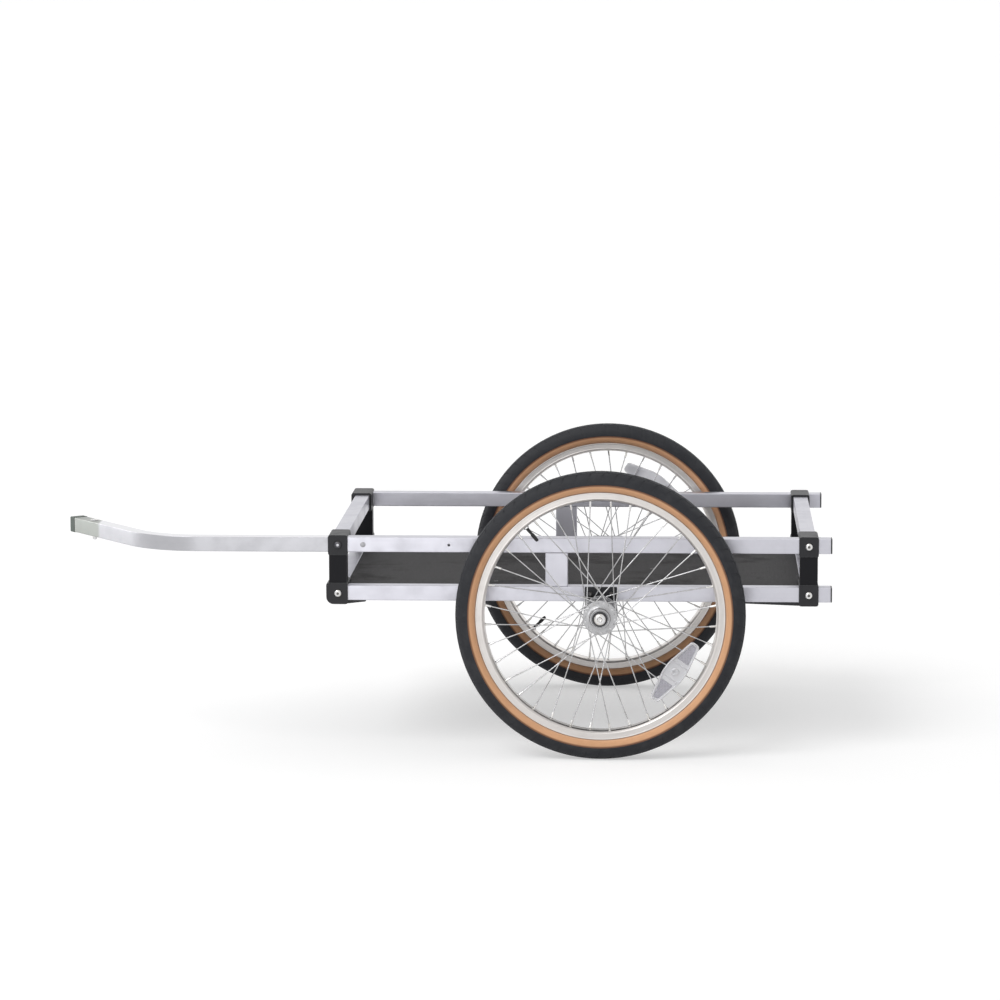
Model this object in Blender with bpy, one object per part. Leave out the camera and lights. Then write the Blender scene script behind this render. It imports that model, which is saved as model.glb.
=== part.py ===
"""Flatbed bike trailer.

Two side frames of square aluminium tube are joined by black corner connectors and carry a deck.
A bent tow bar sits on the left, and two 20 inch wheels run on push-button axles outside the frame.
Units are metres. The hitch end points to -X, the left side to -Y, and the ground is Z = 0.
The origin lies below the middle of the bounding box.
"""

import math

import bmesh
import bpy
from mathutils import Matrix, Vector

for old in list(bpy.data.objects):
    bpy.data.objects.remove(old, do_unlink=True)

MM = 0.001
GAP = 0.3 * MM  # play between pieces that touch on the real trailer

# Frame tube
TUBE = 25.4 * MM
WALL = 1.6 * MM
CHAMFER = 1.2 * MM

# Wheel radii, all from the rim's bead seat
BEAD_SEAT = 203 * MM
RIM_LIP = 6.6 * MM
RIM_FLANGE = BEAD_SEAT + RIM_LIP
RIM_DEPTH = 8.3 * MM  # from the bead seat in to the spoke face
RIM_INNER = BEAD_SEAT - RIM_DEPTH
RIM_HALF = 15.4 * MM  # half of the rim's width
RIM_SIDE = 2.3 * MM  # thickness of the side flanges
TYRE_HEIGHT = 41 * MM
TYRE_HALF = 23 * MM  # half of the tyre's width
TYRE = BEAD_SEAT + TYRE_HEIGHT

# Frame layout, lengths along X measured from the wheel axle, heights from the ground
FRONT_JOINT = -445 * MM  # middle of the front connectors and cross rails
REAR_JOINT = 350 * MM
REAR_STUB = 37 * MM  # side rails stick out behind the rear connectors
REAR_END = REAR_JOINT + REAR_STUB
RAIL_Y = 292 * MM
RAIL_LIFT = 29 * MM  # bottom rail above the axle
RAIL_PITCH = 82.5 * MM  # top rail above the bottom rail
LOWER_Z = TYRE + RAIL_LIFT
UPPER_Z = LOWER_Z + RAIL_PITCH
POST_X = -75 * MM
POST_WIDTH = 38 * MM

# Corner connectors
SLEEVE_WALL = 3.5 * MM
SLEEVE_HALF = TUBE / 2 + GAP + SLEEVE_WALL
SLEEVE_DEPTH = 55 * MM  # from the middle of the side rail inward along the cross rail
SLEEVE_FLOOR = 6 * MM  # the lower sleeve is thicker underneath
WEB_HALF = 15 * MM
WEB_RECESS = 1.5 * MM
NOSE = 3.5 * MM  # closed front sleeves stand this much further forward
NOSE_RADIUS = 12.5 * MM
FRONT_TONGUE = 30 * MM  # stiffening tongues under the side rails
REAR_TONGUE = 96 * MM
TONGUE_REACH = 22 * MM  # inward from the rail, where a tongue starts
TONGUE_TAPER = 3.6 * MM  # a tongue gets this much thinner toward its tip

# Floor
FLOOR_BAR = 19.05 * MM
FLOOR_BAR_X = (-180 * MM, 85 * MM)
DECK_THICK = 6 * MM

# Tow bar
BEND_START = -683 * MM
BEND_RADIUS = 140 * MM
BEND_ANGLE = math.radians(54)
BAR_TAIL = 202.5 * MM
SPIGOT_FRONT = -541 * MM
SPIGOT_REAR = -245 * MM
LOCK_PIN_X = -402.6 * MM
SPARE_HOLE_X = -257 * MM
HITCH_PIN_INSET = 50.5 * MM
HITCH_PIN_RADIUS = 4 * MM

# End caps
CAP_THICK = 2 * MM
BAR_CAP_THICK = 15 * MM
BAR_CAP_HALF = 13.3 * MM
PLUG_DEPTH = 10 * MM

# Bolts
SHANK = 3 * MM
BOLT_HEAD = 6.5 * MM
BRACKET_BOLT_HEAD = 5 * MM
LOCK_PIN_HEAD = 4.5 * MM
HEAD_RISE = 0.7  # height of a button head, as a share of its radius
LOCK_PIN_RISE = 0.3

# Wheels, radii unless said otherwise
WHEEL_Y = 350 * MM
WHEEL_STEPS = 36
VALVE_HOLE = 3.6 * MM
VALVE_LENGTH = 31 * MM  # stem inside the rim
VALVE_TIP = RIM_INNER - VALVE_LENGTH
VALVE_ANGLE = {-1: math.radians(230), 1: math.radians(135)}
SPOKES = 36
SPOKE = 0.95 * MM
SPOKE_CIRCLE = 25 * MM
SPOKE_RIM_Z = 3.5 * MM  # spokes meet the rim this far from the middle of the wheel
SPOKE_SWING = math.radians(60)  # how far round the hub each spoke leans
FLANGE_Z = 28 * MM  # flange distance from the middle of the wheel
FLANGE_THICK = 3 * MM
FLANGE = 29 * MM
HUB_BARREL = 12 * MM
HUB_END = 16.5 * MM
HUB_OUT = 42 * MM
HUB_IN = -36 * MM
BEARING = 14 * MM
BEARING_LENGTH = 8 * MM
REFLECTOR_DROP = 38.7 * MM  # from the rim's spoke face in to the middle of the reflector
REFLECTOR_AT = RIM_INNER - REFLECTOR_DROP
REFLECTOR_TURN = math.radians(166.7)  # from the valve
REFLECTOR_LONG = 118 * MM
REFLECTOR_WAIST = 20 * MM  # length of the full width stretch in the middle
REFLECTOR_WIDE = 37 * MM
REFLECTOR_TIP = 16 * MM  # width of the ends
REFLECTOR_CORNER = 4 * MM
REFLECTOR_THICK = 5 * MM
REFLECTOR_LIFT = 0.4 * MM  # above the spokes
REFLECTOR_FLOOR = 2 * MM  # left under the two lens pockets
LENS_BORDER = 4.5 * MM
LENS_LENGTH = 33 * MM

# Axles
AXLE = 6 * MM
AXLE_HEAD = 10 * MM
AXLE_HEAD_SLOPE = 2.5 * MM
AXLE_HEAD_LENGTH = 7 * MM
AXLE_INNER = -80 * MM
BUTTON = 4 * MM
BUTTON_PROUD = 2.7 * MM
BUTTON_TRAVEL = 3 * MM
BUTTON_POCKET = 30 * MM  # where the wide bore ends
PLUNGER = 2 * MM

# Axle brackets
BRACKET_LENGTH = 54 * MM
BRACKET_BOLT_X = BRACKET_LENGTH / 3
BRACKET_WALL = 4.6 * MM
BRACKET_DROP = 18 * MM  # below the axle
BOSS = 8.5 * MM

SMALL_STEPS = 20
BORE_STEPS = 16
BOLT_STEPS = 10
QUARTER = math.pi / 2

bar_end = Vector((
    BEND_START - BEND_RADIUS * math.sin(BEND_ANGLE) - BAR_TAIL * math.cos(BEND_ANGLE),
    -RAIL_Y + BEND_RADIUS * (1 - math.cos(BEND_ANGLE)) + BAR_TAIL * math.sin(BEND_ANGLE),
    UPPER_Z))
bar_along = Vector((-math.cos(BEND_ANGLE), math.sin(BEND_ANGLE), 0))
front_reach = -bar_end.x + (GAP + BAR_CAP_THICK) * math.cos(BEND_ANGLE) + BAR_CAP_HALF * math.sin(BEND_ANGLE)
rear_reach = REAR_END + GAP + CAP_THICK
AXLE_X = (front_reach - rear_reach) / 2


def finish(name, colour, roughness, metallic=0.0):
    """A plain Principled material."""
    material = bpy.data.materials.new(name)
    material.use_nodes = True
    shader = material.node_tree.nodes["Principled BSDF"]
    shader.inputs["Base Color"].default_value = (*colour, 1)
    shader.inputs["Roughness"].default_value = roughness
    shader.inputs["Metallic"].default_value = metallic
    material.diffuse_color = (*colour, 1)
    return material


def from_axle(x, y=0.0, z=0.0):
    """World point for a length measured from the axle."""
    return Vector((AXLE_X + x, y, z))


def solid(name, bm, material, where=(0, 0, 0), turn=(0, 0, 0), parent=None, closed=True):
    """Named object from a bmesh."""
    if closed:
        bmesh.ops.recalc_face_normals(bm, faces=bm.faces)
    mesh = bpy.data.meshes.new(name)
    bm.to_mesh(mesh)
    bm.free()
    mesh.materials.append(material)
    obj = bpy.data.objects.new(name, mesh)
    bpy.context.collection.objects.link(obj)
    obj.location, obj.rotation_euler, obj.parent = where, turn, parent
    return obj


def shape(obj, bm, operation="DIFFERENCE", overlapping=False):
    """Boolean a bmesh, given in the object's own coordinates, into or out of the object."""
    tool = solid(f"{obj.name}_{operation.lower()}_{len(obj.modifiers)}", bm, obj.data.materials[0],
                 obj.location, obj.rotation_euler, obj.parent)
    tool.hide_render = True
    tool.display_type = "WIRE"
    modifier = obj.modifiers.new(operation.title(), "BOOLEAN")
    modifier.operation = operation
    modifier.object = tool
    modifier.use_self = overlapping


def add_box(bm, low, high):
    """Box between two corners, in either order."""
    low, high = Vector(low), Vector(high)
    size = [abs(b - a) for a, b in zip(low, high)]
    matrix = Matrix.Translation((low + high) / 2) @ Matrix.Diagonal((*size, 1))
    return bmesh.ops.create_cube(bm, size=1, matrix=matrix)["verts"]


def add_rod(bm, start, end, radius, segments=BOLT_STEPS):
    """Capped round bar from one point to another."""
    start, end = Vector(start), Vector(end)
    along = end - start
    matrix = Matrix.Translation((start + end) / 2) @ along.to_track_quat("Z", "Y").to_matrix().to_4x4()
    bmesh.ops.create_cone(bm, cap_ends=True, segments=segments, radius1=radius, radius2=radius,
                          depth=along.length, matrix=matrix)


def add_prism(bm, outline, height, axis=2, base=0.0):
    """Plate with the given outline, extruded along one axis from its base."""
    spots = [list(point) for point in outline]
    for spot in spots:
        spot.insert(axis, base)
    face = bm.faces.new([bm.verts.new(spot) for spot in spots])
    lifted = bmesh.ops.extrude_face_region(bm, geom=[face])["geom"]
    shift = Vector((0, 0, 0))
    shift[axis] = height
    bmesh.ops.translate(bm, vec=shift, verts=[v for v in lifted if isinstance(v, bmesh.types.BMVert)])
    return face


def lathe(profile, steps):
    """Closed profile of (radius, height) points turned about Z."""
    bm = bmesh.new()
    points = [bm.verts.new((radius, 0, height)) for radius, height in profile]
    on_axis = profile[0][0] == 0 and profile[-1][0] == 0
    pairs = list(zip(points, points[1:])) + ([] if on_axis else [(points[-1], points[0])])
    edges = [bm.edges.new(pair) for pair in pairs]
    bmesh.ops.spin(bm, geom=points + edges, cent=(0, 0, 0), axis=(0, 0, 1), angle=2 * math.pi,
                   steps=steps, use_merge=True)
    bmesh.ops.remove_doubles(bm, verts=bm.verts, dist=1e-6)
    return bm


def turned(name, profile, material, where=(0, 0, 0), turn=(0, 0, 0), parent=None, steps=SMALL_STEPS):
    """Lathed piece, smooth where it is round and sharp at its corners."""
    obj = solid(name, lathe(profile, steps), material, where, turn, parent)
    obj.data.shade_smooth()
    obj.data.set_sharp_from_angle(angle=math.radians(35))
    return obj


def ring(bm, width, height, chamfer):
    """Edge loop round a tube section that lies across X."""
    a, b = width / 2, height / 2
    corners = [(a, b - chamfer), (a - chamfer, b), (chamfer - a, b), (-a, b - chamfer),
               (-a, chamfer - b), (chamfer - a, -b), (a - chamfer, -b), (a, chamfer - b)]
    points = [bm.verts.new((0, y, z)) for y, z in corners]
    return [bm.edges.new((points[i - 1], points[i])) for i in range(len(points))]


def draw_out(bm, loop, vector):
    """Extrude an edge loop and return the loop at its far end."""
    made = bmesh.ops.extrude_edge_only(bm, edges=loop)["geom"]
    points = [g for g in made if isinstance(g, bmesh.types.BMVert)]
    bmesh.ops.translate(bm, vec=vector, verts=points)
    return [g for g in made if isinstance(g, bmesh.types.BMEdge) and all(v in points for v in g.verts)]


def thicken(obj, wall):
    """Give an open tube its wall, inward from the outer skin."""
    modifier = obj.modifiers.new("Wall", "SOLIDIFY")
    modifier.thickness = wall
    modifier.offset = -1
    modifier.use_even_offset = True


def face_out(bm):
    """An open tube has no inside, so one side face shows which way all of them look."""
    bmesh.ops.recalc_face_normals(bm, faces=bm.faces)
    bm.faces.ensure_lookup_table()
    face = bm.faces[0]
    middle = face.calc_center_median()
    if face.normal.y * middle.y + face.normal.z * middle.z < 0:
        bmesh.ops.reverse_faces(bm, faces=bm.faces)


def tube(name, start, end, material, width=TUBE, height=TUBE, wall=WALL):
    """Straight tube between two points along X, Y or Z. Width lies across, height up."""
    start, end = Vector(start), Vector(end)
    along = end - start
    bm = bmesh.new()
    loop = ring(bm, width, height, CHAMFER)
    bmesh.ops.translate(bm, vec=(-along.length / 2, 0, 0), verts=bm.verts)
    draw_out(bm, loop, (along.length, 0, 0))
    face_out(bm)
    turn = (0, QUARTER if along.z else 0, QUARTER if along.y else 0)
    obj = solid(name, bm, material, (start + end) / 2, turn, closed=False)
    thicken(obj, wall)
    return obj


def drill(obj, holes):
    """Holes along Y through an object that lies along X, as (world x, radius, from y, to y)."""
    bm = bmesh.new()
    for x, radius, y0, y1 in holes:
        spot = x - obj.location.x
        add_rod(bm, (spot, y0 - obj.location.y, 0), (spot, y1 - obj.location.y, 0), radius)
    shape(obj, bm)


def cap(name, where, turn, half, thick, material):
    """Plug for a tube end. Local +X points out of the tube."""
    bm = bmesh.new()
    add_box(bm, (GAP, -half, -half), (GAP + thick, half, half))
    bmesh.ops.bevel(bm, geom=[e for e in bm.edges if all(v.co.x > 2 * GAP for v in e.verts)],
                    offset=0.6 * MM, segments=1, affect="EDGES")
    inner = min(bm.faces, key=lambda f: f.calc_center_median().x)
    bmesh.ops.inset_region(bm, faces=[inner], thickness=half - (TUBE / 2 - WALL - GAP) + 0.4 * MM,
                               use_even_offset=True)
    plug = bmesh.ops.extrude_discrete_faces(bm, faces=[inner])["faces"][0]
    bmesh.ops.translate(bm, vec=(-PLUG_DEPTH, 0, 0), verts=plug.verts)
    solid(name, bm, material, where, turn)


def bolt(name, where, side, length, head, material, rise=HEAD_RISE):
    """Button head bolt along Y with a round socket. The origin is under its head."""
    socket = head * 0.42
    tall = head * rise
    profile = [(0, tall * 0.45), (socket, tall * 0.45), (socket, tall), (head, tall * 0.4), (head, 0),
               (SHANK, 0), (SHANK, -length), (0, -length)]
    turned(name, profile, material, where, (-side * QUARTER, 0, 0), steps=BOLT_STEPS)


bare = finish("bare_aluminium", (0.74, 0.74, 0.72), 0.32, 0.9)
black = finish("black_moulding", (0.018, 0.018, 0.019), 0.45)
dark = finish("dark_plastic", (0.10, 0.12, 0.11), 0.5)
bright = finish("bright_steel", (0.72, 0.72, 0.72), 0.22, 1.0)
panel = finish("dark_deck", (0.03, 0.027, 0.025), 0.55)
rubber = finish("tyre_rubber", (0.03, 0.03, 0.03), 0.8)
butyl = finish("tube_rubber", (0.02, 0.02, 0.02), 0.6)
rim_metal = finish("rim_aluminium", (0.66, 0.66, 0.66), 0.28, 0.95)
hub_metal = finish("hub_aluminium", (0.62, 0.62, 0.62), 0.3, 0.9)
bearing_steel = finish("bearing_steel", (0.08, 0.08, 0.085), 0.4, 0.6)
clear = finish("clear_plastic", (0.80, 0.82, 0.82), 0.12)

nose_x = -SLEEVE_HALF - NOSE  # from the joint to the face of a closed front sleeve
blind_x = nose_x + SLEEVE_WALL + GAP  # rail end inside it
rail_in = RAIL_Y - TUBE / 2  # inner face of the side rails
rail_out = RAIL_Y + TUBE / 2
sleeve_out = RAIL_Y + SLEEVE_HALF
bolt_seat = sleeve_out + GAP


def connector(name, end, side, closed_levels):
    """Corner connector with a sleeve round each rail level and a web between the sleeves."""
    joint = FRONT_JOINT if end < 0 else REAR_JOINT
    low, high = LOWER_Z - TUBE / 2 - GAP - SLEEVE_FLOOR, UPPER_Z + SLEEVE_HALF
    step_low, step_high = LOWER_Z + SLEEVE_HALF, UPPER_Z - SLEEVE_HALF
    lower_face = nose_x if "lower" in closed_levels else -SLEEVE_HALF
    upper_face = nose_x if "upper" in closed_levels else -SLEEVE_HALF
    outline = [(upper_face, high), (SLEEVE_HALF, high), (SLEEVE_HALF, step_high),
               (WEB_HALF, step_high), (WEB_HALF, step_low), (SLEEVE_HALF, step_low), (SLEEVE_HALF, low)]
    if "lower" in closed_levels:
        for i in range(4):
            angle = QUARTER * i / 3
            outline.append((lower_face + NOSE_RADIUS * (1 - math.sin(angle)),
                            low + NOSE_RADIUS * (1 - math.cos(angle))))
    else:
        outline.append((lower_face, low))
    outline += [(lower_face, step_low), (-WEB_HALF, step_low), (-WEB_HALF, step_high),
                (upper_face, step_high)]
    bm = bmesh.new()
    inner = side * (RAIL_Y - SLEEVE_DEPTH)
    add_prism(bm, outline, side * sleeve_out - inner, axis=1, base=inner)
    ends = [e for e in bm.edges if len({round(v.co.y, 6) for v in e.verts}) == 1]
    bmesh.ops.bevel(bm, geom=ends, offset=1 * MM, segments=1, affect="EDGES")
    obj = solid(name, bm, black, from_axle(joint))

    tongue = bmesh.new()
    into_bed = -end
    long = FRONT_TONGUE if end < 0 else REAR_TONGUE
    start, tip = into_bed * (SLEEVE_HALF - 2 * MM), into_bed * (SLEEVE_HALF + long)
    add_prism(tongue, [(start, side * (rail_out - 1.2 * MM)), (tip, side * (rail_out - 1.2 * MM)),
                       (tip, side * (rail_in + 2 * MM)), (start, side * (rail_in - TONGUE_REACH))],
              SLEEVE_FLOOR - 0.4 * MM, axis=2, base=low + 0.4 * MM)
    for vert in tongue.verts:
        if vert.co.z < low + 1 * MM and abs(vert.co.x - tip) < GAP:
            vert.co.z += TONGUE_TAPER
    shape(obj, tongue, "UNION")

    cut = bmesh.new()
    bore = TUBE / 2 + GAP
    for level, z in (("lower", LOWER_Z), ("upper", UPPER_Z)):
        front = nose_x + SLEEVE_WALL if level in closed_levels else -2 * SLEEVE_HALF
        near, far = side * (RAIL_Y - bore), side * (RAIL_Y + bore)
        past = side * (RAIL_Y - 2 * SLEEVE_DEPTH)
        add_prism(cut, [(front, far), (2 * SLEEVE_HALF, far), (2 * SLEEVE_HALF, near), (bore, near),
                        (bore, past), (-bore, past), (-bore, near), (front, near)], 2 * bore, base=z - bore)
        add_rod(cut, (0, side * RAIL_Y, z), (0, side * (bolt_seat + 5 * MM), z), SHANK + GAP)
    shape(obj, cut, overlapping=True)

    trim = bmesh.new()
    beyond = 2 * SLEEVE_HALF
    add_box(trim, (-beyond, side * rail_in, step_low),
            (beyond, side * (RAIL_Y - 2 * SLEEVE_DEPTH), step_high))
    add_box(trim, (-beyond, side * (sleeve_out - WEB_RECESS), step_low + 1 * MM),
            (beyond, side * (sleeve_out + beyond), step_high - 1 * MM))
    shape(obj, trim)


SIDES = (("left", -1), ("right", 1))
corner_holes = (FRONT_JOINT, REAR_JOINT)

for label, side in SIDES:
    for level, z in (("bottom", LOWER_Z), ("top", UPPER_Z)):
        open_front = label == "left" and level == "top"
        front = FRONT_JOINT + (-SLEEVE_HALF if open_front else blind_x)
        rail = tube(f"{label}_{level}_rail", from_axle(front, side * RAIL_Y, z),
                    from_axle(REAR_END, side * RAIL_Y, z), bare)
        outer, middle, inner = side * (rail_out + 5 * MM), side * RAIL_Y, side * (rail_in - 5 * MM)
        holes = [(AXLE_X + x, SHANK + GAP, outer, middle) for x in corner_holes]
        if open_front:
            holes += [(AXLE_X + LOCK_PIN_X, SHANK + GAP, outer, inner),
                      (AXLE_X + SPARE_HOLE_X, 2.5 * MM, outer, inner)]
        if level == "bottom":
            holes += [(AXLE_X + x, SHANK + GAP, outer, inner) for x in (-BRACKET_BOLT_X, BRACKET_BOLT_X)]
        drill(rail, holes)
        cap(f"{label}_{level}_rear_cap", from_axle(REAR_END, side * RAIL_Y, z), (0, 0, 0), TUBE / 2,
            CAP_THICK, dark)
        for place, x in (("front", FRONT_JOINT), ("rear", REAR_JOINT)):
            bolt(f"{label}_{level}_{place}_bolt", from_axle(x, side * bolt_seat, z), side, 10 * MM,
                 BOLT_HEAD, bright)
    tube(f"{label}_side_post", from_axle(POST_X, side * RAIL_Y, LOWER_Z + TUBE / 2 + GAP),
         from_axle(POST_X, side * RAIL_Y, UPPER_Z - TUBE / 2 - GAP), bare, height=POST_WIDTH)
    connector(f"{label}_rear_connector", 1, side, ())
connector("left_front_connector", -1, -1, ("lower",))
connector("right_front_connector", -1, 1, ("lower", "upper"))

half_span = rail_in - GAP
for place, x in (("front", FRONT_JOINT), ("rear", REAR_JOINT)):
    for level, z in (("bottom", LOWER_Z), ("top", UPPER_Z)):
        tube(f"{place}_{level}_cross_rail", from_axle(x, -half_span, z), from_axle(x, half_span, z), bare)

floor_z = LOWER_Z + TUBE / 2 - DECK_THICK  # underside of the deck
for place, x in zip(("front", "rear"), FLOOR_BAR_X):
    z = floor_z - GAP - FLOOR_BAR / 2
    tube(f"{place}_floor_bar", from_axle(x, -half_span, z), from_axle(x, half_span, z), bare,
         FLOOR_BAR, FLOOR_BAR)

deck_front, deck_rear = FRONT_JOINT + TUBE / 2 + GAP, REAR_JOINT - TUBE / 2 - GAP
notch_x, notch_y = SLEEVE_HALF - TUBE / 2, RAIL_Y - SLEEVE_DEPTH - GAP
deck_outline = []
for x, into_bed, side in ((deck_front, 1, -1), (deck_rear, -1, -1), (deck_rear, -1, 1), (deck_front, 1, 1)):
    corner = [(x, side * notch_y), (x + into_bed * notch_x, side * notch_y),
              (x + into_bed * notch_x, side * half_span)]
    deck_outline += corner if into_bed * side < 0 else corner[::-1]
deck = bmesh.new()
add_prism(deck, deck_outline, DECK_THICK)
solid("deck_panel", deck, panel, from_axle(0, 0, floor_z))

bar_start = FRONT_JOINT - SLEEVE_HALF - GAP
bar = bmesh.new()
loop = ring(bar, TUBE, TUBE, CHAMFER)
loop = draw_out(bar, loop, (BEND_START - bar_start, 0, 0))
bent = bmesh.ops.spin(bar, geom=loop + list({v for e in loop for v in e.verts}),
                      cent=(BEND_START - bar_start, BEND_RADIUS, 0), axis=(0, 0, 1),
                      angle=-BEND_ANGLE, steps=9)["geom_last"]
draw_out(bar, [g for g in bent if isinstance(g, bmesh.types.BMEdge)], bar_along * BAR_TAIL)
face_out(bar)
tow_bar = solid("tow_bar", bar, bare, from_axle(bar_start, -RAIL_Y, UPPER_Z), closed=False)
thicken(tow_bar, WALL)

pin_spot = bar_end - bar_along * HITCH_PIN_INSET + Vector((AXLE_X, 0, 0))
pin_local = pin_spot - tow_bar.location
hole = bmesh.new()
add_rod(hole, pin_local - Vector((0, 0, TUBE)), pin_local + Vector((0, 0, TUBE)), HITCH_PIN_RADIUS + GAP)
shape(tow_bar, hole)
pin_head = TUBE / 2 + GAP
pin_tip = -TUBE / 2 - 8 * MM
turned("hitch_pin", [
    (0, pin_head + 2 * MM), (5.5 * MM, pin_head + 2 * MM), (7 * MM, pin_head + 1 * MM), (7 * MM, pin_head),
    (HITCH_PIN_RADIUS, pin_head), (HITCH_PIN_RADIUS, pin_tip + 1 * MM),
    (HITCH_PIN_RADIUS - 1 * MM, pin_tip), (0, pin_tip)], bright, pin_spot, steps=BORE_STEPS)
cap("tow_bar_end_cap", bar_end + Vector((AXLE_X, 0, 0)), (0, 0, math.pi - BEND_ANGLE), BAR_CAP_HALF,
    BAR_CAP_THICK, dark)

spigot_size = TUBE - 2 * WALL - 2 * GAP
spigot = tube("tow_bar_spigot", from_axle(SPIGOT_FRONT, -RAIL_Y, UPPER_Z),
              from_axle(SPIGOT_REAR, -RAIL_Y, UPPER_Z), bare, spigot_size, spigot_size, 2 * MM)
beyond_spigot = (-RAIL_Y - TUBE, -RAIL_Y + TUBE)
drill(spigot, [(AXLE_X + FRONT_JOINT, SHANK + GAP, -RAIL_Y - TUBE, -RAIL_Y),
               (AXLE_X + LOCK_PIN_X, SHANK + GAP, *beyond_spigot),
               (AXLE_X + SPARE_HOLE_X, 2.5 * MM, *beyond_spigot)])
bolt("tow_bar_lock_pin", from_axle(LOCK_PIN_X, -rail_out - GAP, UPPER_Z), -1, TUBE + 2 * MM,
     LOCK_PIN_HEAD, bright, LOCK_PIN_RISE)


def axle_bracket(label, side):
    """Black channel round the bottom rail with a thick base that holds the axle."""
    top = LOWER_Z + TUBE / 2
    base_top = LOWER_Z - TUBE / 2 - GAP
    low = TYRE - BRACKET_DROP
    leg_out, leg_in = rail_out + GAP, rail_in - GAP
    bm = bmesh.new()
    add_prism(bm, [(side * y, z) for y, z in (
        (leg_out + BRACKET_WALL, top), (leg_out, top), (leg_out, base_top), (leg_in, base_top),
        (leg_in, floor_z - GAP), (leg_in - BRACKET_WALL, floor_z - GAP), (leg_in - BRACKET_WALL, low),
        (leg_out + BRACKET_WALL, low))], BRACKET_LENGTH, axis=0, base=-BRACKET_LENGTH / 2)
    rounded = [e for e in bm.edges if all(abs(v.co.z - low) < 1e-6 for v in e.verts)
               and abs(e.verts[0].co.x - e.verts[1].co.x) < 1e-6]
    bmesh.ops.bevel(bm, geom=rounded, offset=8 * MM, segments=3, profile=0.5, affect="EDGES")
    obj = solid(f"{label}_axle_bracket", bm, black, from_axle(0))
    boss = bmesh.new()
    boss_end = WHEEL_Y + HUB_IN - GAP
    add_rod(boss, (0, side * (leg_out + 1 * MM), TYRE), (0, side * boss_end, TYRE), BOSS, BORE_STEPS)
    shape(obj, boss, "UNION")
    bores = bmesh.new()
    near, far = side * (leg_in - 2 * BRACKET_WALL), side * (boss_end + 5 * MM)
    add_rod(bores, (0, near, TYRE), (0, far, TYRE), AXLE + GAP, BORE_STEPS)
    for x in (-BRACKET_BOLT_X, BRACKET_BOLT_X):
        add_rod(bores, (x, near, LOWER_Z), (x, far, LOWER_Z), SHANK + GAP)
    shape(obj, bores)
    for place, x in (("front", -BRACKET_BOLT_X), ("rear", BRACKET_BOLT_X)):
        seat = leg_out + BRACKET_WALL + GAP
        bolt(f"{label}_{place}_bracket_bolt", from_axle(x, side * seat, LOWER_Z), side,
             seat - leg_in + BRACKET_WALL + 2 * MM, BRACKET_BOLT_HEAD, black)


def mirrored(half):
    """Profile with the given (radius, height) half and its mirror image below."""
    return half + [(radius, -height) for radius, height in reversed(half)]


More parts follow.
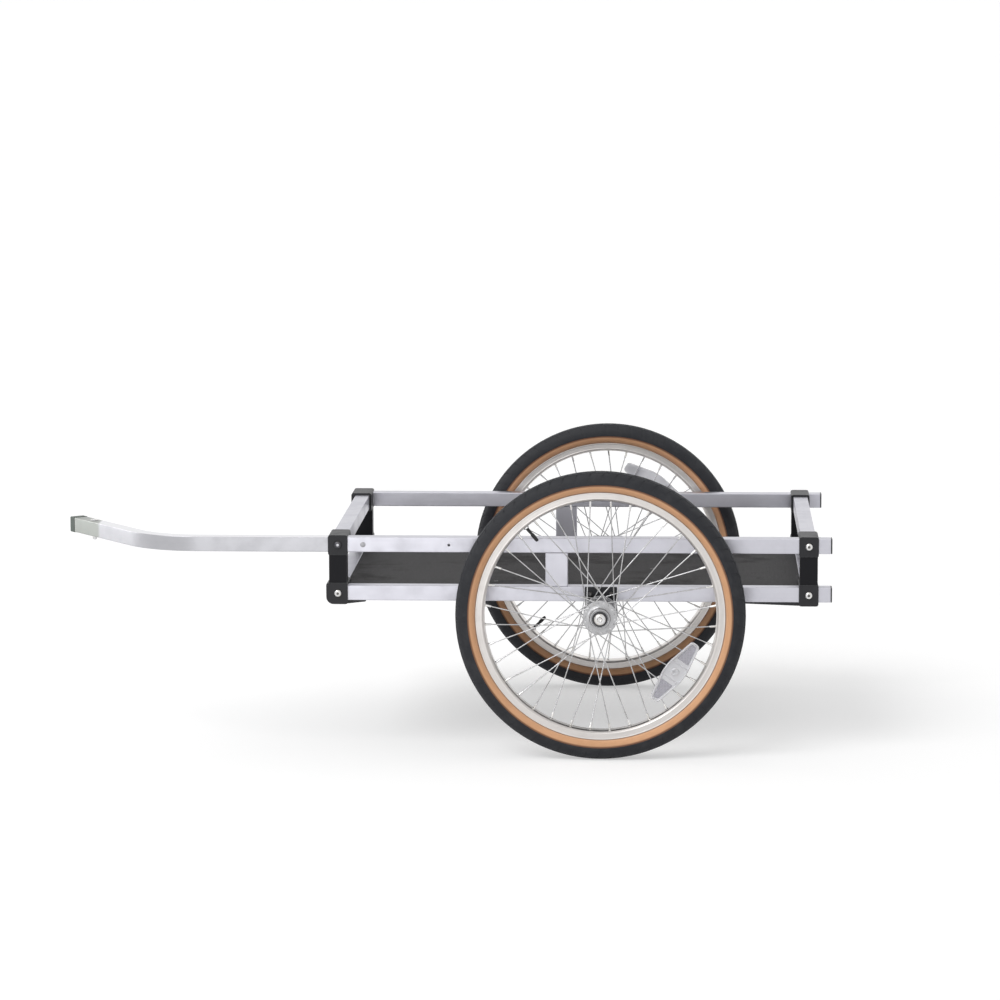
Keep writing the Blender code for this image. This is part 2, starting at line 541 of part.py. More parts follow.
def wheel(label, side):
    """All pieces of one wheel, turned about the axle. Local Z points away from the frame."""
    hinge = bpy.data.objects.new(f"{label}_wheel_axis", None)
    bpy.context.collection.objects.link(hinge)
    hinge.location = from_axle(0, side * WHEEL_Y, TYRE)
    hinge.rotation_euler = (-side * QUARTER, 0, 0)
    valve = side * VALVE_ANGLE[side]
    toward_valve = Vector((math.cos(valve), math.sin(valve), 0))

    flange_in = RIM_HALF - RIM_SIDE
    rim_half = [(RIM_INNER, 0.585 * RIM_HALF), (RIM_INNER + 0.48 * RIM_DEPTH, RIM_HALF),
                (RIM_FLANGE, RIM_HALF), (RIM_FLANGE, flange_in), (BEAD_SEAT, 0.98 * flange_in),
                (BEAD_SEAT, 0.7 * flange_in), (BEAD_SEAT - 0.42 * RIM_DEPTH, 0.534 * flange_in)]
    rim = turned(f"{label}_rim", mirrored(rim_half), rim_metal, parent=hinge, steps=WHEEL_STEPS)
    hole = bmesh.new()
    add_rod(hole, toward_valve * (RIM_INNER - 5 * MM), toward_valve * (RIM_FLANGE + 5 * MM), VALVE_HOLE)
    shape(rim, hole)

    def tyre_point(height, width, inset=0.0):
        """Point in the tyre's section, by its share of the height and half width."""
        return BEAD_SEAT + height * TYRE_HEIGHT - inset, width * TYRE_HALF - inset

    bead, wedge = BEAD_SEAT + GAP, flange_in - 0.7 * MM
    inside = [tyre_point(0.2, 0.443), tyre_point(0.366, 0.783), tyre_point(0.683, 0.809),
              tyre_point(0.902, 0.348)]
    tyre_half = [tyre_point(1, 0.26), tyre_point(0.915, 0.63), tyre_point(0.707, 0.943),
                 tyre_point(0.488, 1), tyre_point(0.293, 0.891), (RIM_FLANGE + 0.5 * MM, wedge),
                 (bead, wedge), (bead, wedge - 2.8 * MM)] + inside
    turned(f"{label}_tyre", mirrored(tyre_half), rubber, parent=hinge, steps=WHEEL_STEPS)

    drawn_in = (-0.4 * MM, -0.4 * MM, 0.2 * MM, 0.2 * MM)
    skin = mirrored([(r + shift, z - 0.5 * MM) for (r, z), shift in zip(reversed(inside), drawn_in)]
                    + [(BEAD_SEAT - 3.1 * MM, 6.5 * MM)])
    air = mirrored([tyre_point(0.854, 0.304), tyre_point(0.537, 0.713), tyre_point(0.024, 0.174)])
    inner_tube = turned(f"{label}_inner_tube", skin, butyl, parent=hinge, steps=WHEEL_STEPS)
    shape(inner_tube, lathe(air, WHEEL_STEPS))
    stem = bmesh.new()
    add_rod(stem, toward_valve * VALVE_TIP, toward_valve * (BEAD_SEAT - 1 * MM), VALVE_HOLE - GAP)
    shape(inner_tube, stem, "UNION")
    bore = bmesh.new()
    add_rod(bore, toward_valve * (VALVE_TIP - 5 * MM), toward_valve * (BEAD_SEAT + 10 * MM), 1.5 * MM, 8)
    shape(inner_tube, bore)

    edge = FLANGE_THICK / 2
    seat_out, seat_in = HUB_OUT - BEARING_LENGTH - GAP, HUB_IN + BEARING_LENGTH + GAP
    hub = turned(f"{label}_hub_and_spokes", [
        (HUB_END, HUB_OUT), (HUB_END, FLANGE_Z + 3 * MM),
        (FLANGE, FLANGE_Z + edge), (FLANGE, FLANGE_Z - edge),
        (HUB_BARREL, FLANGE_Z - 4 * MM), (HUB_BARREL, 4 * MM - FLANGE_Z), (FLANGE, edge - FLANGE_Z),
        (FLANGE, -FLANGE_Z - edge), (HUB_END, -FLANGE_Z - 3 * MM), (HUB_END, HUB_IN),
        (BEARING + GAP, HUB_IN), (BEARING + GAP, seat_in), (AXLE + 2.5 * MM, seat_in),
        (AXLE + 2.5 * MM, seat_out), (BEARING + GAP, seat_out), (BEARING + GAP, HUB_OUT)],
        hub_metal, parent=hinge)
    spokes = bmesh.new()
    spoke_end = RIM_INNER * math.cos(math.pi / WHEEL_STEPS) - GAP
    for k in range(SPOKES):
        at_rim = valve + side * math.radians(5 + 360 * k / SPOKES)
        lean = 1 if k % 4 < 2 else -1
        at_hub = at_rim + side * lean * SPOKE_SWING
        flange = 1 if k % 2 else -1
        start = (SPOKE_CIRCLE * math.cos(at_hub), SPOKE_CIRCLE * math.sin(at_hub),
                 flange * FLANGE_Z + lean * 1.8 * MM)
        stop = (spoke_end * math.cos(at_rim), spoke_end * math.sin(at_rim), flange * SPOKE_RIM_Z)
        add_rod(spokes, start, stop, SPOKE, 4)
    shape(hub, spokes, "UNION")

    for place, low in (("outer", HUB_OUT - BEARING_LENGTH), ("inner", HUB_IN)):
        high = low + BEARING_LENGTH
        turned(f"{label}_{place}_bearing", [
            (BEARING, high - 0.5 * MM), (BEARING, low + 0.5 * MM), (BEARING - 0.5 * MM, low),
            (AXLE + GAP, low), (AXLE + GAP, high), (BEARING - 0.5 * MM, high)],
            bearing_steel, parent=hinge, steps=BORE_STEPS)

    spot = valve + side * REFLECTOR_TURN
    slope = (FLANGE_Z - SPOKE_RIM_Z) / (spoke_end - SPOKE_CIRCLE)
    over = SPOKE_RIM_Z + slope * (spoke_end - REFLECTOR_AT) + SPOKE + REFLECTOR_LIFT
    long, waist = REFLECTOR_LONG / 2, REFLECTOR_WAIST / 2

    def half_width(y):
        """Half of the reflector's width at a distance from its middle."""
        narrower = (REFLECTOR_WIDE - REFLECTOR_TIP) / 2 * max(0.0, y - waist) / (long - waist)
        return REFLECTOR_WIDE / 2 - narrower

    plate = bmesh.new()
    quarter = [(half_width(y), y) for y in (waist, long)]
    half = quarter + [(-x, y) for x, y in reversed(quarter)]
    add_prism(plate, half + [(-x, -y) for x, y in half], REFLECTOR_THICK)
    corners = [e for e in plate.edges if abs(e.verts[0].co.z - e.verts[1].co.z) > GAP
               and abs(e.verts[0].co.y) > waist + GAP]
    bmesh.ops.bevel(plate, geom=corners, offset=REFLECTOR_CORNER, segments=2, profile=0.5, affect="EDGES")
    reflector = solid(f"{label}_reflector", plate, clear,
                      (REFLECTOR_AT * math.cos(spot), REFLECTOR_AT * math.sin(spot), over),
                      (0, math.atan(slope), spot), hinge)
    pockets = bmesh.new()
    lens = [(half_width(y) - LENS_BORDER, y) for y in (long - LENS_BORDER - LENS_LENGTH, long - LENS_BORDER)]
    lens += [(-x, y) for x, y in reversed(lens)]
    for end in (-1, 1):
        add_prism(pockets, [(x, end * y) for x, y in lens], REFLECTOR_THICK, base=REFLECTOR_FLOOR)
    shape(reflector, pockets)


def axle(label, side):
    """Hollow stub axle with its release button, fixed to the bracket. Local Z points outward."""
    seat = bpy.data.objects.new(f"{label}_button_axis", None)
    bpy.context.collection.objects.link(seat)
    seat.location = from_axle(0, side * WHEEL_Y, TYRE)
    seat.rotation_euler = (-side * QUARTER, 0, 0)
    head_in = HUB_OUT + GAP
    head_out = head_in + AXLE_HEAD_LENGTH
    turned(f"{label}_axle", [
        (AXLE_HEAD - AXLE_HEAD_SLOPE, head_out), (AXLE_HEAD, head_out - AXLE_HEAD_SLOPE),
        (AXLE_HEAD, head_in), (AXLE, head_in), (AXLE, AXLE_INNER + 1 * MM),
        (AXLE - 1 * MM, AXLE_INNER), (PLUNGER + GAP, AXLE_INNER),
        (PLUNGER + GAP, BUTTON_POCKET), (BUTTON + GAP, BUTTON_POCKET),
        (BUTTON + GAP, head_out)], bright, parent=seat, steps=BORE_STEPS)
    top = head_out + BUTTON_PROUD
    foot = BUTTON_POCKET + BUTTON_TRAVEL + GAP
    turned(f"{label}_release_button", [
        (0, top), (BUTTON - 0.6 * MM, top), (BUTTON, top - 0.6 * MM), (BUTTON, foot), (PLUNGER, foot),
        (PLUNGER, AXLE_INNER + BUTTON_TRAVEL + 1 * MM), (0, AXLE_INNER + BUTTON_TRAVEL + 1 * MM)],
        bright, parent=seat, steps=BORE_STEPS)


for label, side in SIDES:
    axle_bracket(label, side)
    wheel(label, side)
    axle(label, side)
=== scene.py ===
# %% [markdown]
# # A flatbed bike trailer, from solids to a studio picture
# The trailer already exists as exact solids, one for each part that can be taken off with a spanner.
# This notebook loads them, keeps their places and sizes, and dresses each one: rounder edges, finer
# detail, and finishes made only from nodes. A solid is never moved. Where its faceted shape is too
# plain, a finer mesh is built on the same numbers and stands in for it.

import math

import bmesh
import bpy
from mathutils import Matrix, Vector


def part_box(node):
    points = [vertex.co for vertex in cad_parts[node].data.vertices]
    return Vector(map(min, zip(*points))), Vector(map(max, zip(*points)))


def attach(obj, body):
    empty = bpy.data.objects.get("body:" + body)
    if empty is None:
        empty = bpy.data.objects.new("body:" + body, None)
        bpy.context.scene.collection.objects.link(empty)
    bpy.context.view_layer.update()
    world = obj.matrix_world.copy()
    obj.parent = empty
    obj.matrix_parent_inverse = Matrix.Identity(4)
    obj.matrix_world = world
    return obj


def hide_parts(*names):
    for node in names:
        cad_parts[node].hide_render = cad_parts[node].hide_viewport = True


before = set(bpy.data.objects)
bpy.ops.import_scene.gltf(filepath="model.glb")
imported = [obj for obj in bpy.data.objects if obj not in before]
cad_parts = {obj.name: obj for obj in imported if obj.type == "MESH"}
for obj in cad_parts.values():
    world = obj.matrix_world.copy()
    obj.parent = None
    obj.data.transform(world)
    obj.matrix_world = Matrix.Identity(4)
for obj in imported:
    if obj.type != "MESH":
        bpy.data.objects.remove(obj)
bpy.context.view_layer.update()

# %% [markdown]
# ## Numbers that the pieces share
# What a box can't tell, such as a wall thickness or the radius of a bend, is named here once.
# Lengths are in metres, and `MM` keeps them readable.

# %% Shared sizes
MM = 0.001
QUARTER = math.pi / 2
GAP = 0.3 * MM
SIDES = {"left": -1, "right": 1}
ENDS = {"front": -1, "rear": 1}


def box_middle(node):
    low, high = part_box(node)
    return (low + high) / 2


hub_at = {label: box_middle(f"{label}_rim") for label in SIDES}
axle_x = hub_at["left"].x
rail_y = box_middle("right_top_rail").y
lower_z, upper_z = box_middle("left_bottom_rail").z, box_middle("left_top_rail").z
tube_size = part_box("left_top_rail")[1].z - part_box("left_top_rail")[0].z
joint_x = {end: box_middle(f"{end}_top_cross_rail").x for end in ENDS}
print("axle x", round(axle_x, 4), "rails at y", round(rail_y, 4), "z", round(lower_z, 4), round(upper_z, 4))

# %% [markdown]
# ## Camera
# The photograph was matched by its own vanishing lines: a long lens about seven metres away, a little
# above the trailer and almost square to its side. No lens shift is needed, so every other view turns
# about the trailer without a skew. The three angles are in radians.

# %% Camera
CAMERA_AHEAD, CAMERA_AWAY, CAMERA_UP = 0.1403, 7.3136, 1.3655
LENS_MM, SENSOR_MM = 151.16, 36
SWING, DIP, ROLL = 0.0443, 0.1322, -0.0017

camera_data = bpy.data.cameras.new("studio_camera")
camera_data.lens, camera_data.sensor_width = LENS_MM, SENSOR_MM
camera_data.clip_end = 500
camera = bpy.data.objects.new("studio_camera", camera_data)
bpy.context.scene.collection.objects.link(camera)
camera.location = (axle_x + CAMERA_AHEAD, -CAMERA_AWAY, CAMERA_UP)
camera.rotation_euler = (Matrix.Rotation(SWING, 3, "Z") @ Matrix.Rotation(QUARTER - DIP, 3, "X")
                         @ Matrix.Rotation(ROLL, 3, "Z")).to_euler()
bpy.context.scene.camera = camera
bpy.context.scene.view_settings.view_transform = "Standard"
print("camera at", [round(v, 3) for v in camera.location])

# %% [markdown]
# ## Node trees written as arithmetic
# A finish is a small calculation: how dark is the scratch here, how rough is the metal there. Wiring
# it by hand hides the calculation, so `Wire` wraps a node's output and lets Python's own signs add
# the Math nodes. `Sheet.node` makes every other kind of node from its settings and its inputs.

# %% Wires and sheets
class Wire:
    """A node's output that takes part in Python arithmetic."""

    def __init__(self, sheet, socket):
        self.sheet, self.socket = sheet, socket

    def math(self, operation, *others):
        return self.sheet.math(operation, self, *others)

    def output(self, index):
        return Wire(self.sheet, self.socket.node.outputs[index])

    def __add__(self, other):
        return self.math("ADD", other)

    def __sub__(self, other):
        return self.math("SUBTRACT", other)

    def __rsub__(self, other):
        return self.sheet.math("SUBTRACT", other, self)

    def __mul__(self, other):
        return self.math("MULTIPLY", other)

    def __truediv__(self, other):
        return self.math("DIVIDE", other)

    def __gt__(self, other):
        return self.math("GREATER_THAN", other)

    __radd__, __rmul__ = __add__, __mul__


class Sheet:
    """A node tree that is written from Python."""

    def __init__(self, tree):
        self.tree = tree

    def feed(self, socket, value):
        if isinstance(value, Wire):
            self.tree.links.new(value.socket, socket)
        elif socket.type == "RGBA":
            socket.default_value = (*value[:3], 1)
        else:
            socket.default_value = value

    def node(self, kind, settings=None, inputs=None, output=0):
        made = self.tree.nodes.new(kind)
        for name, value in (settings or {}).items():
            setattr(made, name, value)
        for key, value in (inputs or {}).items():
            self.feed(made.inputs[key], value)
        return Wire(self, made.outputs[output])

    def math(self, operation, *values):
        return self.node("ShaderNodeMath", {"operation": operation}, dict(enumerate(values)))

    def mix(self, share, one, two):
        """Colour one where the share is 0 and colour two where it is 1."""
        return self.node("ShaderNodeMix", {"data_type": "RGBA"}, {0: share, 6: one, 7: two}, output=2)

    def scaled(self, vector, by):
        return self.node("ShaderNodeVectorMath", {"operation": "MULTIPLY"}, {0: vector, 1: by})

    def noise(self, vector, scale=1, detail=2, rough=0.5):
        return self.node("ShaderNodeTexNoise", None,
                         {"Vector": vector, "Scale": scale, "Detail": detail, "Roughness": rough})

    def ramp(self, value, low, high, to_low=0.0, to_high=1.0):
        """The value's span from low to high, eased, as a span between two other numbers."""
        return self.node("ShaderNodeMapRange", {"interpolation_type": "SMOOTHSTEP"},
                         {"Value": value, "From Min": low, "From Max": high,
                          "To Min": to_low, "To Max": to_high})


print("node classes ready")

# %% [markdown]
# ## Studio light
# The photograph has a plain white ground and soft light from above the camera's left. A white world
# fills the shadows, one broad sun from that side models the shapes, and a weak one opens the far side.
# A small lamp stands low on the camera's side, about two metres from the rails. That is near enough to
# make their bare metal fade a little from front to rear. A larger one stands ahead of the trailer, also
# low, and brightens the faces that look forward.
# Their sum on a level surface is about 1, so that a colour renders about as it is written.
# Camera, glossy and transmission rays see the world as pure white, whatever light it gives.

# %% World and lamps
AMBIENT = 0.50
KEY_SUN, KEY_FROM, KEY_SPREAD = 1.25, (-0.55, -0.65, 0.85), 35
FILL_SUN, FILL_FROM, FILL_SPREAD = 0.30, (0.8, 0.6, 0.7), 60
LAMP_AIM = Vector((-0.3, 0, 0.3))
WINDOW_POWER, WINDOW_SIZE, WINDOW_AT = 3, 0.9, Vector((-0.35, -2.3, 0.4))
SIDE_POWER, SIDE_SIZE, SIDE_AT = 26, 1.4, Vector((-3.4, 1.1, 0.9))


def seen_ray(sheet):
    """1 for a ray that shows the ground directly, in metal or through clear plastic."""
    path = sheet.node("ShaderNodeLightPath")
    is_camera, is_glossy, is_transmission = (path.output(i) for i in (0, 3, 6))
    for wire, name in ((is_camera, "Is Camera Ray"), (is_glossy, "Is Glossy Ray"),
                       (is_transmission, "Is Transmission Ray")):
        assert wire.socket.name == name, wire.socket.name
    return is_camera.math("MAXIMUM", is_glossy).math("MAXIMUM", is_transmission)


world = bpy.data.worlds.new("studio")
bpy.context.scene.world = world
world.use_nodes = True
air = Sheet(world.node_tree)
background = world.node_tree.nodes["Background"]
background.inputs["Color"].default_value = (1, 1, 1, 1)
air.feed(background.inputs["Strength"], seen_ray(air) * (1 - AMBIENT) + AMBIENT)


def sun(name, strength, source, spread):
    """Broad sun that shines from the given direction. Its spread is in degrees."""
    data = bpy.data.lights.new(name, "SUN")
    data.energy, data.angle = strength, math.radians(spread)
    lamp = bpy.data.objects.new(name, data)
    lamp.rotation_euler = Vector(source).to_track_quat("Z", "Y").to_euler()
    bpy.context.scene.collection.objects.link(lamp)


sun("key_sun", KEY_SUN, KEY_FROM, KEY_SPREAD)
sun("fill_sun", FILL_SUN, FILL_FROM, FILL_SPREAD)
for name, power, size, spot in (("window_lamp", WINDOW_POWER, WINDOW_SIZE, WINDOW_AT),
                                ("side_lamp", SIDE_POWER, SIDE_SIZE, SIDE_AT)):
    panel = bpy.data.lights.new(name, "AREA")
    panel.energy, panel.size = power, size
    lamp = bpy.data.objects.new(name, panel)
    lamp.location, lamp.visible_camera = spot, False
    lamp.rotation_euler = (spot - LAMP_AIM).to_track_quat("Z", "Y").to_euler()
    bpy.context.scene.collection.objects.link(lamp)
print("lamps:", KEY_SUN, FILL_SUN, WINDOW_POWER, SIDE_POWER, "ambient", AMBIENT)

# %% [markdown]
# ## Floor
# The floor has to vanish into white and still carry the trailer's shadow. A grey diffuse floor gives
# the shadow, and a little emission that only the seen rays meet lifts the lit part of it to white.

# %% Floor
FLOOR_HALF, FLOOR_DROP = 150, 0.2 * MM
FLOOR_TONE, FLOOR_LIFT = 0.68, 0.44

floor_mesh = bmesh.new()
bmesh.ops.create_grid(floor_mesh, x_segments=4, y_segments=4, size=FLOOR_HALF)
floor_data = bpy.data.meshes.new("studio_floor")
floor_mesh.to_mesh(floor_data)
floor_mesh.free()
floor = bpy.data.objects.new("studio_floor", floor_data)
floor.location.z = -FLOOR_DROP
bpy.context.scene.collection.objects.link(floor)

floor_finish = bpy.data.materials.new("pale_floor")
floor_finish.use_nodes = True
floor_data.materials.append(floor_finish)
ground = Sheet(floor_finish.node_tree)
floor_finish.node_tree.nodes.clear()
matt = ground.node("ShaderNodeBsdfDiffuse", None, {"Color": (FLOOR_TONE,) * 3})
glow = ground.node("ShaderNodeEmission", None,
                   {"Color": (1, 1, 1), "Strength": seen_ray(ground) * FLOOR_LIFT})
both = ground.node("ShaderNodeAddShader", None, {0: matt, 1: glow})
surface_out = floor_finish.node_tree.nodes.new("ShaderNodeOutputMaterial")
ground.feed(surface_out.inputs["Surface"], both)
print("floor half width", FLOOR_HALF)

# %% [markdown]
# ## A finish and its tools
# Each finish is one Principled shader with its own sheet. Five things come up in nearly all of them:
# where a point is, how near it is to an edge, how far it is from the wheel's axle, where a stain or a
# worn patch lies, and how a height becomes a bump. They are methods here, so that a finish reads like
# a recipe. Coordinates come from the object, never from the world, so the pattern turns with the wheel.

# %% Finish class
EDGE_START, EDGE_FULL = 0.004, 0.12


class Finish(Sheet):
    """A named material round one Principled shader, and the slot name that it stands for."""

    def __init__(self, name, slot, constants):
        self.slot = slot
        self.material = bpy.data.materials.new(name)
        self.material.use_nodes = True
        super().__init__(self.material.node_tree)
        self.shader = self.tree.nodes["Principled BSDF"]
        self.coat(constants)
        print("finish", name, "for slot", slot)

    def coat(self, values):
        for name, value in values.items():
            self.feed(self.shader.inputs[name], value)

    def spot(self):
        return self.node("ShaderNodeTexCoord", output=3)

    def grain(self):
        """Metres along a bar and round it, from the map that every lofted mesh carries."""
        return self.node("ShaderNodeUVMap", {"uv_map": "grain"})

    def parts(self, vector):
        split = self.node("ShaderNodeSeparateXYZ", None, {"Vector": vector})
        return [split.output(i) for i in range(3)]

    def polar(self):
        """Distance from the axle, angle round it, and place along it, in a wheel's own axes."""
        x, y, z = self.parts(self.spot())
        return (x * x + y * y).math("SQRT"), y.math("ARCTAN2", x), z

    def vector(self, x, y, z):
        return self.node("ShaderNodeCombineXYZ", None, {0: x, 1: y, 2: z})

    def facing(self):
        """Direction that the surface faces, before any bump."""
        return self.node("ShaderNodeNewGeometry", output=1)

    def edges(self, reach):
        """1 on a convex or concave edge that is narrower than the reach, 0 on flat ground."""
        rounded = self.node("ShaderNodeBevel", {"samples": 8}, {"Radius": reach})
        alike = self.node("ShaderNodeVectorMath", {"operation": "DOT_PRODUCT"},
                          {0: rounded, 1: self.facing()}, output=1)
        return self.ramp(1 - alike, EDGE_START, EDGE_FULL)

    def patches(self, vector, low, high, scale=1, detail=3, rough=0.5):
        """Noise cut into soft patches: 0 where it is below low, 1 where it is above high."""
        return self.ramp(self.noise(vector, scale, detail, rough), low, high)

    def bump(self, height, depth, onto=None):
        """Normal for a height of 0 to 1 that stands the given depth proud, in metres."""
        inputs = {"Height": height, "Distance": depth}
        if onto:
            inputs["Normal"] = onto
        return self.node("ShaderNodeBump", None, inputs)


def shade(tone, by):
    """The tone made darker or lighter by a factor."""
    return [by * t for t in tone]


print("finish class ready")

# %% [markdown]
# ## Extruded aluminium
# The bars come from a die that leaves fine straight lines along them, and nobody polished them
# afterwards. Handling adds soft smudges and a few short scratches. Noise stretched along the bar's
# own map makes the lines, so they follow the tow bar round its bend. A second noise, cut off high,
# leaves only the scratches. The metal stays pale: its lines change the shine more than the colour.
# At the tow bar's tip the skin is painted a darker grey with a trace of green: painted shade.
# The bar's top faces are painted lighter, as painted light from above, and its sides are painted
# darker than the rails of the same tube: painted shade.

# %% Extruded aluminium
LINES, BANDS, SCUFF = (5, 1100, 1), (2, 140, 1), (160, 160, 800)
LINE_DEPTH, SMUDGE = 0.00006, 26
BAND_TONE, DULL_TONE, NICK_TONE = 0.93, 0.80, 0.62
# The tip's darker stretch is painted shade, and the top's lighter tone is painted light.
SHADED_TIP_LONG, SHADED_TIP_FADE = 53 * MM, 3 * MM
PAINTED_TOP_LIGHT_TONE, SHADED_TIP_TONE = (0.80, 0.80, 0.82), (0.285, 0.30, 0.277)


def extruded_aluminium(name, tone, shaded_tip_end=None):
    metal = Finish(name, "bare_aluminium", {"Metallic": 1.0})
    lines = metal.noise(metal.scaled(metal.grain(), LINES), detail=3, rough=0.6)
    bands = metal.noise(metal.scaled(metal.grain(), BANDS))
    nicks = metal.patches(metal.scaled(metal.spot(), SCUFF), 0.69, 0.76, rough=0.7)
    dull = metal.patches(metal.spot(), 0.35, 0.72, scale=SMUDGE, detail=4, rough=0.62)
    clean = metal.mix(bands, shade(tone, BAND_TONE), tone)
    smudged_and_painted_light = metal.mix(dull * 0.32, clean, shade(tone, DULL_TONE))
    if shaded_tip_end:
        # Painted light: faces that look upward take a lighter tone.
        upward = metal.parts(metal.facing())[2]
        smudged_and_painted_light = metal.mix(metal.ramp(upward, 0.6, 0.9), smudged_and_painted_light, PAINTED_TOP_LIGHT_TONE)
        # Painted shade: the last stretch towards the tip takes a darker grey-green.
        along = metal.parts(metal.spot())[0]
        tip_shade = metal.ramp(along, shaded_tip_end - SHADED_TIP_FADE, shaded_tip_end + SHADED_TIP_FADE, 0.9, 0)
        smudged_and_painted_light = metal.mix(tip_shade, smudged_and_painted_light, SHADED_TIP_TONE)
    metal.coat({
        "Base Color": metal.mix(nicks * 0.35, smudged_and_painted_light, shade(tone, NICK_TONE)),
        "Roughness": 0.27 + lines * 0.10 + dull * 0.12 + nicks * 0.10,
        "Normal": metal.bump(lines * 0.7 + bands * 0.3 - nicks * 0.8, LINE_DEPTH)})
    return metal


bare_aluminium = extruded_aluminium("bare_extruded_aluminium", (0.585, 0.582, 0.635))
# Painted shade: the tow bar's sides take a darker tone than the rails of the same tube.
bar_aluminium_painted_light = extruded_aluminium("tow_bar_aluminium_painted_light", (0.47, 0.47, 0.495),
                                   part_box("tow_bar")[0].x + SHADED_TIP_LONG)

# %% [markdown]
# ## Black corner mouldings
# The connectors and brackets are black all through, with a fine pebbled skin and slightly greyed,
# polished edges where they rub. The edge mask compares the real normal with one that is eased over
# nearly two millimetres. Pebbles are a small Voronoi height, too fine to model.

# %% Black moulding
PEBBLE, PEBBLE_DEPTH = 900, 0.00008
CLOUD, CLOUD_DEPTH = 34, 0.00015
RUB, RUB_WIDTH = 240, 0.0018
DUSTY_TONE = 2.2


def black_skin(name, slot, tone, worn, rough, shine=0.30):
    """Moulded plastic of one tone, with edges worn to another."""
    skin = Finish(name, slot, {"Metallic": 0.0, "Specular IOR Level": shine})
    pebbles = skin.node("ShaderNodeTexVoronoi", {"feature": "SMOOTH_F1"},
                        {"Vector": skin.spot(), "Scale": PEBBLE, "Smoothness": 0.6})
    cloud = skin.noise(skin.spot(), CLOUD, detail=4, rough=0.6)
    dust = skin.ramp(cloud, 0.5, 0.8)
    dusty = skin.mix(dust * 0.30, tone, shade(tone, DUSTY_TONE))
    rub = skin.edges(RUB_WIDTH) * skin.patches(skin.spot(), 0.32, 0.62, scale=RUB)
    skin.coat({
        "Base Color": skin.mix(rub * 0.55, dusty, worn),
        "Roughness": rough + dust * 0.14 - rub * 0.10 + pebbles * 0.06,
        "Normal": skin.bump(1 - pebbles, PEBBLE_DEPTH, skin.bump(cloud, CLOUD_DEPTH))})
    return skin


black_moulding = black_skin("black_pebbled_moulding", "black_coat",
                            (0.020, 0.020, 0.023), (0.10, 0.10, 0.105), 0.40)
# Painted shade: the recessed web is the same moulding, painted darker and given less shine.
shaded_web_moulding = black_skin("black_web_painted_shade", "black_coat",
                          (0.006, 0.006, 0.008), (0.05, 0.05, 0.055), 0.44, 0.18)
cap_plastic = black_skin("grey_green_cap_plastic", "dark_plastic",
                         (0.080, 0.100, 0.086), (0.18, 0.21, 0.185), 0.46)
dark_plastic = black_skin("dark_smooth_plastic", "dark_plastic",
                          (0.032, 0.034, 0.034), (0.12, 0.12, 0.12), 0.42)

# %% [markdown]
# ## Plated steel
# Bolts, pins and the axle are turned and plated. Turning leaves rings about their own axis, plating
# leaves a faint warm or cool cloud, and the sockets are painted darker, a painted shade. Every turned
# piece has its own axis as local Z, so rings follow from the distance to that axis.

# %% Plated steel
TURNING, RING_DEPTH = (2600, 2600, 0), 0.00003
PLATE_CLOUD, GRIME, GRIME_TONE = 190, 700, 0.45


def plated(name, slot, tone, tint, rough):
    """Turned steel whose plating drifts from one tone to another."""
    steel = Finish(name, slot, {"Metallic": 1.0})
    reach, _, along = steel.polar()
    rings = steel.noise(steel.scaled(steel.vector(reach, along, 0), TURNING))
    cloud = steel.patches(steel.spot(), 0.36, 0.68, scale=PLATE_CLOUD)
    grime = steel.patches(steel.spot(), 0.58, 0.75, scale=GRIME, detail=4, rough=0.7)
    steel.coat({
        "Base Color": steel.mix(grime * 0.35, steel.mix(cloud, tone, tint), shade(tone, GRIME_TONE)),
        "Roughness": rough + rings * 0.10 + grime * 0.18,
        "Normal": steel.bump(rings, RING_DEPTH)})
    return steel


bright_steel = plated("bright_plated_steel", "bright_steel", (0.66, 0.66, 0.67), (0.70, 0.68, 0.645), 0.16)
black_steel = plated("black_oxide_steel", "black_coat", (0.055, 0.055, 0.06), (0.08, 0.075, 0.07), 0.34)
# Painted highlight: a pale socket, only for the bolt by the tow bar.
highlight_socket_steel = plated("socket_steel_painted_highlight", "bright_steel", (0.60, 0.60, 0.63), (0.56, 0.555, 0.57), 0.34)
dull_steel = plated("dull_lock_pin_steel", "bright_steel", (0.40, 0.40, 0.42), (0.34, 0.335, 0.35), 0.48)
# Painted shade: the sockets of the bolts are painted darker than their heads.
shaded_socket_steel = plated("socket_steel_painted_shade", "bright_steel", (0.24, 0.235, 0.23), (0.14, 0.135, 0.13), 0.45)
# Painted shade: the bolt by the tow bar is the same plated bolt, painted nearly black.
shaded_bolt_steel = plated("bolt_steel_painted_shade", "bright_steel", (0.075, 0.075, 0.085), (0.11, 0.105, 0.11), 0.36)

# %% [markdown]
# ## Wheel metals
# The rim's sides are a brake track: machined in fine rings and rubbed a little darker and duller in
# the middle. The hub is polished in rings too, and both use the distance from the axle. The spokes are
# drawn stainless wire, brightest where they are clean, and only noise in space colours them.

# %% Rim, hub and spoke metal
TRACK_LOW, TRACK_HIGH, TRACK_FADE = 0.2004, 0.2078, 0.0008
RIM_RINGS, RIM_RING_DEPTH, HUB_RINGS = (2200, 2200, 0.6), 0.00004, (1500, 1500, 0)
RUBBED, RIM_FILM, HUB_FILM = (300, 3, 40), 42, 150
WIRE_CLOUD, WIRE_SPECK, WIRE_SPECK_DEPTH = 60, 1500, 0.00002
RIM_TONE, TRACK_TONE, RIM_FILM_TONE = (0.66, 0.632, 0.61), (0.53, 0.51, 0.495), (0.43, 0.41, 0.39)
HUB_TONE, HUB_FILM_TONE = (0.42, 0.42, 0.43), (0.28, 0.275, 0.27)
WIRE_TONE, WIRE_DULL_TONE = (0.52, 0.52, 0.53), (0.38, 0.375, 0.37)


